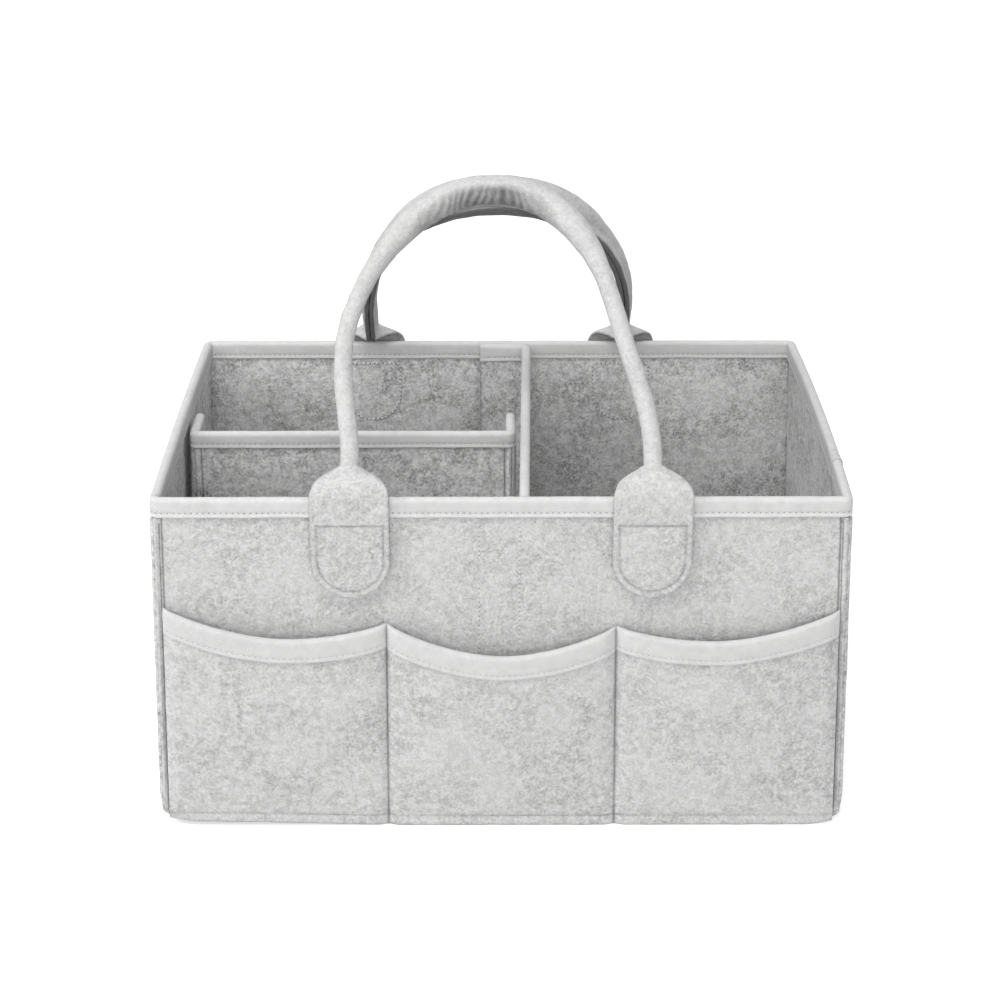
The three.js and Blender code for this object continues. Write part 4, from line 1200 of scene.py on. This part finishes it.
def handle_stations(end):
    """Along the strip from one tab's round end to the other's: place, inward way, across way, reach."""
    side = -1 if end == "front" else 1
    arch_reach = ARCH_REACHES[end]
    neck_start, neck_end = NECKS[end]
    limb = [
        *(TAB_END_UPS - TAB_DROP), *TAB_REACHES, *HINGE_REACHES,
        *np.arange(LIMB_START, neck_start, LIMB_STEP), *np.linspace(neck_start, neck_end, NECK_STEPS),
        *LIMB_REACHES,
    ]
    across = [(-HANDLE_HALF_SPACING, reach) for reach in limb]
    for i in range(1, ARCH_STEPS):
        angle = math.pi * i / ARCH_STEPS
        width = math.copysign(abs(math.cos(angle)) ** FULLNESS_POWER, math.cos(angle))
        across.append((-HANDLE_HALF_SPACING * width, mix(LIMB_LENGTH, arch_reach, math.sin(angle))))
    across += [(HANDLE_HALF_SPACING, reach) for reach in limb[::-1]]
    lean = resting_lean(arch_reach)
    stations = []
    for x, reach in across:
        inward, up, angle = lean_at(reach, lean)
        slump = float(smooth(SWAY_START, SWAY_END, reach))
        slump -= SWAY_RETURN_SHARE * float(smooth(SWAY_END, arch_reach, reach))
        x += SWAYS[end] * slump + RIGHT_LIMB_SHIFTS[end] * float(smooth(-1, 1, x / HANDLE_HALF_SPACING))
        place = np.array([x, side * (TAB_MIDDLE_Y - inward), HINGE_HEIGHT + up])
        way_in = np.array([0, -side * math.cos(angle), -math.sin(angle)])
        stations.append({"place": place, "in": way_in, "reach": reach})
    for i, station in enumerate(stations):
        ahead = stations[min(i + 1, len(stations) - 1)]["place"] - stations[max(i - 1, 0)]["place"]
        station["across"] = unit(np.cross(ahead, station["in"]))
    return stations


def tab_half_width(reach):
    """Half the width of the flat strip: round at the lower end of the tab."""
    round_from = -TAB_DROP + TAB_HALF
    if reach >= round_from:
        return TAB_HALF
    return math.sqrt(max(TAB_HALF**2 - (round_from - reach) ** 2, TAB_TIP_HALF**2))


def tab_seam(width, reach):
    """How deep in the tab's stitch line a place on the flat strip is, from 0 to 1."""
    line = TAB_HALF - TAB_SEAM_INSET
    round_from = -TAB_DROP + TAB_HALF
    if reach > TAB_SEAM_TOP:
        return 0.0
    off = abs(abs(width) - line) if reach > round_from else abs(math.hypot(width, reach - round_from) - line)
    if abs(width) < line:
        off = min(off, abs(reach))
    return hill(off, TAB_SEAM_WIDTH)


def roll_radius(reach, end):
    return mix(LIMB_RADIUS, GRIP_RADIUS, float(smooth(GRIP_START, ARCH_REACHES[end], reach)))


def roll_depth(radius):
    """From the strip's own line inwards to the middle of its roll."""
    return ROLL_INSET + (radius - LIMB_RADIUS) / 2


def handle_section(reach, end):
    """Half the section, raw edge first: each place's share of the strip's half width, its distances
    across and inward on the outer and on the inner face, and how far the strip is rolled up."""
    radius = roll_radius(reach, end)
    centre = roll_depth(radius)
    neck_start, neck_end = NECKS[end]
    share = float(np.clip((reach - neck_start) / (neck_end - neck_start), 0, 1))
    rolled_share = 1 - (1 - share**SHOULDER_POWER) ** (1 / SHOULDER_POWER)
    half_width = tab_half_width(reach)
    places = np.array([*FIN_PLACES, *np.linspace(FIN_SHARE, 1, ROLL_PLACES)])
    faces = []
    for way, inner_radius, edge in ((-1, radius, ROLL_SLIT / 2 + FELT), (1, radius - FELT, ROLL_SLIT / 2)):
        root = math.asin(min(edge / inner_radius, 1))
        tip, foot = centre + radius + FIN_LENGTH, centre + inner_radius * math.cos(root)
        face = []
        for q in places:
            rolled = np.array([edge, mix(tip, foot, q / FIN_SHARE)])
            if q > FIN_SHARE:
                angle = mix(root, math.pi, (q - FIN_SHARE) / (1 - FIN_SHARE))
                rolled = np.array([inner_radius * math.sin(angle), centre + inner_radius * math.cos(angle)])
            face.append(mix(np.array([half_width * (1 - q), way * FELT / 2]), rolled, rolled_share))
        faces.append(np.array(face))
    return places, *faces, rolled_share


GRIP_DENT, GRIP_WRINKLE = 2.4 * MM, 0.5 * MM
DENT_HALF, DENT_SHIFT = 33 * MM, 4 * MM
DENT_FACING = (0, 0.86, -0.5)      # on the front handle outwards and down
DENT_FACING_RANGE = (0.2, 0.75)
WRINKLE_PERIOD, WRINKLE_BEND = 4.4 * MM, 6
WRINKLE_LUMPS, DENT_LUMPS = 12 * MM, 15 * MM
LEAST_PRESS_SHARE = 0.05
GRIP_LIMIT = ROLL_INSET + GRIP_RADIUS * 1.4      # depth beyond which the fin begins


def grip_dent(place, centre, end):
    """How far the grip is pressed in: its lower outer side is flattened and wrinkled by the hand."""
    side = -1 if end == "front" else 1
    facing = float(unit(place - centre) @ unit(np.array(DENT_FACING) * [1, side, 1]))
    off = place[0] - SWAYS[end] * SWAY_RETURN_SHARE + DENT_SHIFT
    across = math.exp(-((off / DENT_HALF) ** 4)) * float(smooth(*DENT_FACING_RANGE, facing))
    wrinkle = math.sin(2 * math.pi * off / WRINKLE_PERIOD + WRINKLE_BEND * unevenness(place, WRINKLE_LUMPS))
    return across * (GRIP_DENT * (0.7 + 0.5 * unevenness(place, DENT_LUMPS)) + GRIP_WRINKLE * wrinkle)


def handle_rings(end):
    """The strip's rings from tab to tab, with the painted shade and light of its cloth and how mottled it
    is.
    """
    rings, shades, mottlings = [], [], []
    neck_end = NECKS[end][1]
    for station in handle_stations(end):
        reach = station["reach"]
        places, outer, inner, rolled = handle_section(reach, end)
        half_width = tab_half_width(reach)
        shade, squeeze = np.zeros(len(places)), np.zeros(len(places))
        for k, share in enumerate(places):
            raw = 1 - float(smooth(*RAW_SHARES, share))
            pressed = 0 if rolled else tab_seam(half_width * (1 - share), reach)
            # Darker cut edges, partly their own tone and partly painted shade, and painted shade in the
            # tab's stitch line.
            shade[k] = max(mix(*EDGE_SHADES, rolled) * raw, TAB_SEAM_SHADE * pressed)
            thinned = 1 - float(smooth(0, THIN_SHARE, share))
            squeeze[k] = TAB_SEAM_DEPTH * pressed + THIN_DEPTH * thinned
        # Painted light over the rolled cloth.
        shade[shade == 0] = ROLL_PAINTED_LIGHT * rolled
        thickness = np.linalg.norm(outer - inner, axis=1)
        keep = np.clip(1 - squeeze / np.maximum(thickness, TINY), LEAST_THICKNESS_SHARE, 1)[:, None]
        middle = (outer + inner) / 2
        outer, inner = middle + (outer - middle) * keep, middle + (inner - middle) * (1 + keep) / 2
        mirror = [-1, 1]
        section = np.vstack([outer, (outer * mirror)[::-1][1:], inner * mirror, inner[::-1][1:]])
        # Painted shadow on the inner face inside the neck's fold.
        folded = float(smooth(0, NECK_FOLD, reach) - smooth(neck_end, neck_end * NECK_SHADOW_SHARE, reach))
        shade = np.concatenate([shade, shade[::-1][1:]])
        shade = np.concatenate([shade, np.maximum(shade, NECK_SHADE * folded)])
        place = station["place"] + section[:, :1] * station["across"] + section[:, 1:] * station["in"]
        if reach > GRIP_START:
            centre = station["place"] + station["in"] * roll_depth(GRIP_RADIUS)
            for k in np.nonzero(section[:, 1] < GRIP_LIMIT)[0]:
                press = grip_dent(place[k], centre, end)
                place[k] -= unit(place[k] - centre) * press
                # Painted shade in the pressed dent.
                if press > LEAST_PRESS_SHARE * GRIP_DENT:
                    shade[k] = max(shade[k], press / GRIP_DENT - LEAST_PRESS_SHARE)
        rings.append(place)
        shades.append(shade)
        mottlings.append(np.full(len(shade), ROLL_MOTTLING * rolled))
    return np.array(rings), np.array(shades), np.array(mottlings)


def handle_core(end):
    """The cord of filling inside the roll, pressed in with it."""
    angles = 2 * math.pi * np.arange(CORE_SIDES) / CORE_SIDES
    rings = []
    for station in handle_stations(end):
        if station["reach"] < NECKS[end][1]:
            continue
        radius = roll_radius(station["reach"], end)
        centre = station["place"] + station["in"] * roll_depth(radius)
        around = np.outer(np.cos(angles), station["across"]) + np.outer(np.sin(angles), station["in"])
        ring = centre + around * (radius - FELT - GAP)
        if station["reach"] > GRIP_START:
            presses = np.array([grip_dent(point, centre, end) for point in ring])
            ring -= around * np.maximum(presses, 0)[:, None]
        rings.append(ring)
    obj = rings_object(f"{end}_handle_cord", np.array(rings), CORD)
    dress(roughen(obj, "cords"), f"{end}_handle", "filling", f"{end}_handle_core")


def tab_stitches():
    """The row round each tab, closed along its hinge, and what shows of it inside the wall."""
    line, round_from = TAB_HALF - TAB_SEAM_INSET, TAB_DROP - TAB_HALF
    around = [(line * math.cos(a), -round_from - line * math.sin(a)) for a in np.linspace(0, math.pi, 25)]
    upright = [(line, -d) for d in np.linspace(0, round_from, 8)[:-1]]
    loop = np.array(upright + around[1:-1] + [(-w, d) for w, d in upright[::-1]])
    level = np.array([(w, 0.0) for w in np.linspace(-line, line, 12)])
    for end, side in (("front", -1), ("rear", 1)):
        outside = side * (TAB_MIDDLE_Y + FELT / 2 - TAB_STITCH_SINK)
        inside = side * (WALL_INNER[1] - TAB_STITCH_OUT)
        for x in (-HANDLE_HALF_SPACING, HANDLE_HALF_SPACING + RIGHT_LIMB_SHIFTS[end]):
            for path in (loop, level):
                for seam, y, facing, sizes in (
                    (FELT_SEAM, outside, side, {}), (INNER_SEAM, inside, -side, TAB_INNER_STITCH),
                ):
                    level_y = np.full(len(path), y)
                    places = np.column_stack([x + path[:, 0], level_y, HINGE_HEIGHT + path[:, 1]])
                    seam.row(places, (0, facing, 0), FELT_PITCH, **sizes)


def handles():
    for end in ("front", "rear"):
        rings, shade, mottling = handle_rings(end)
        obj = rings_object(f"{end}_handle_felt", rings, FELT_CLOTH, shade=shade, mottling=mottling)
        roughen(obj, "handles")
        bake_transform(obj)
        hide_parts(f"{end}_handle_cover", f"{end}_left_tab_patch", f"{end}_right_tab_patch")
        handle_core(end)


# Camera, lights and floor

CAMERA_PLACE = np.array([-4.9, -1274, 681]) * MM
CAMERA_PITCH = math.radians(22.84)
CAMERA_TURN = math.radians(-0.21)
FOCAL_PIXELS = 2302
PICTURE_PIXELS = 1000
SENSOR = 36.0
LAMPS = [                          # name, place, size and power; they point at the middle of the box
    ("key", (0.2, -4.2, 1.25), 2.2, 47),
    ("left", (-1.8, -0.7, 1.5), 1.0, 17),
    ("top", (-0.3, -1.0, 2.3), 1.0, 18),
]
LIT_PLACE = Vector((0, 0, 0.12))
WORLD_STRENGTH = 0.52
FLOOR_HALF, FLOOR_COLOUR, FLOOR_GLOW = 4.0, (0.8, 0.8, 0.8, 1), 0.56
WHITE = (1, 1, 1, 1)


def camera():
    data = bpy.data.cameras.new("camera")
    data.sensor_width = SENSOR
    data.lens = FOCAL_PIXELS / PICTURE_PIXELS * SENSOR
    obj = placed("camera", data)
    obj.location = CAMERA_PLACE + MIDDLE
    obj.rotation_euler = (math.pi / 2 - CAMERA_PITCH, 0, CAMERA_TURN)
    bpy.context.scene.camera = obj


def area_light(name, place, size, power):
    data = bpy.data.lights.new(name, "AREA")
    data.shape = "DISK"
    data.size = size
    data.energy = power
    obj = placed(name, data)
    obj.location = place
    obj.rotation_euler = (LIT_PLACE - Vector(place)).to_track_quat("-Z", "Y").to_euler()


def lights():
    for lamp in LAMPS:
        area_light(*lamp)


def white_world():
    """White where the camera or a gloss sees it, and a softer light for everything else."""
    world = bpy.data.worlds.new("studio")
    bpy.context.scene.world = world
    world.use_nodes = True
    tree = world.node_tree
    rays = tree.nodes.new("ShaderNodeLightPath").outputs
    kinds = {"_0": rays["Is Camera Ray"], "_1": rays["Is Glossy Ray"]}
    seen = add_node(tree, "ShaderNodeMath", {"operation": "MAXIMUM"}, **kinds)
    background = tree.nodes["Background"].inputs
    background["Color"].default_value = WHITE
    strength = add_node(tree, "ShaderNodeMapRange", None, Value=seen, To_Min=WORLD_STRENGTH, To_Max=1.0)
    tree.links.new(strength, background["Strength"])


def floor():
    shader = Shader("pale_floor", 1.0, specular=0.0)
    rays = shader.tree.nodes.new("ShaderNodeLightPath").outputs
    surface = shader.surface.inputs
    surface["Base Color"].default_value = FLOOR_COLOUR
    surface["Emission Color"].default_value = WHITE
    shader.feed(surface["Emission Strength"], shader.times(rays["Is Camera Ray"], FLOOR_GLOW))
    mesh = bpy.data.meshes.new("floor")
    corners = [(-1, -1, 0), (1, -1, 0), (1, 1, 0), (-1, 1, 0)]
    mesh.from_pydata((np.array(corners) * FLOOR_HALF).tolist(), [], [(0, 1, 2, 3)])
    mesh.materials.append(shader.material)
    placed("floor", mesh)


camera()
lights()
white_world()
floor()
box_walls()
base()
rim_tape()
rim_overlap()
pocket_panel()
pocket_tape()
pocket_stitches()
centre_divider()
insert_sheets()
corner_fills()
insert_tape()
hook_strips()
handles()
tab_stitches()
for seam in (TAPE_SEAM, INSERT_SEAM, FELT_SEAM, INNER_SEAM):
    seam.build()
bpy.context.scene.view_settings.view_transform = "Standard"
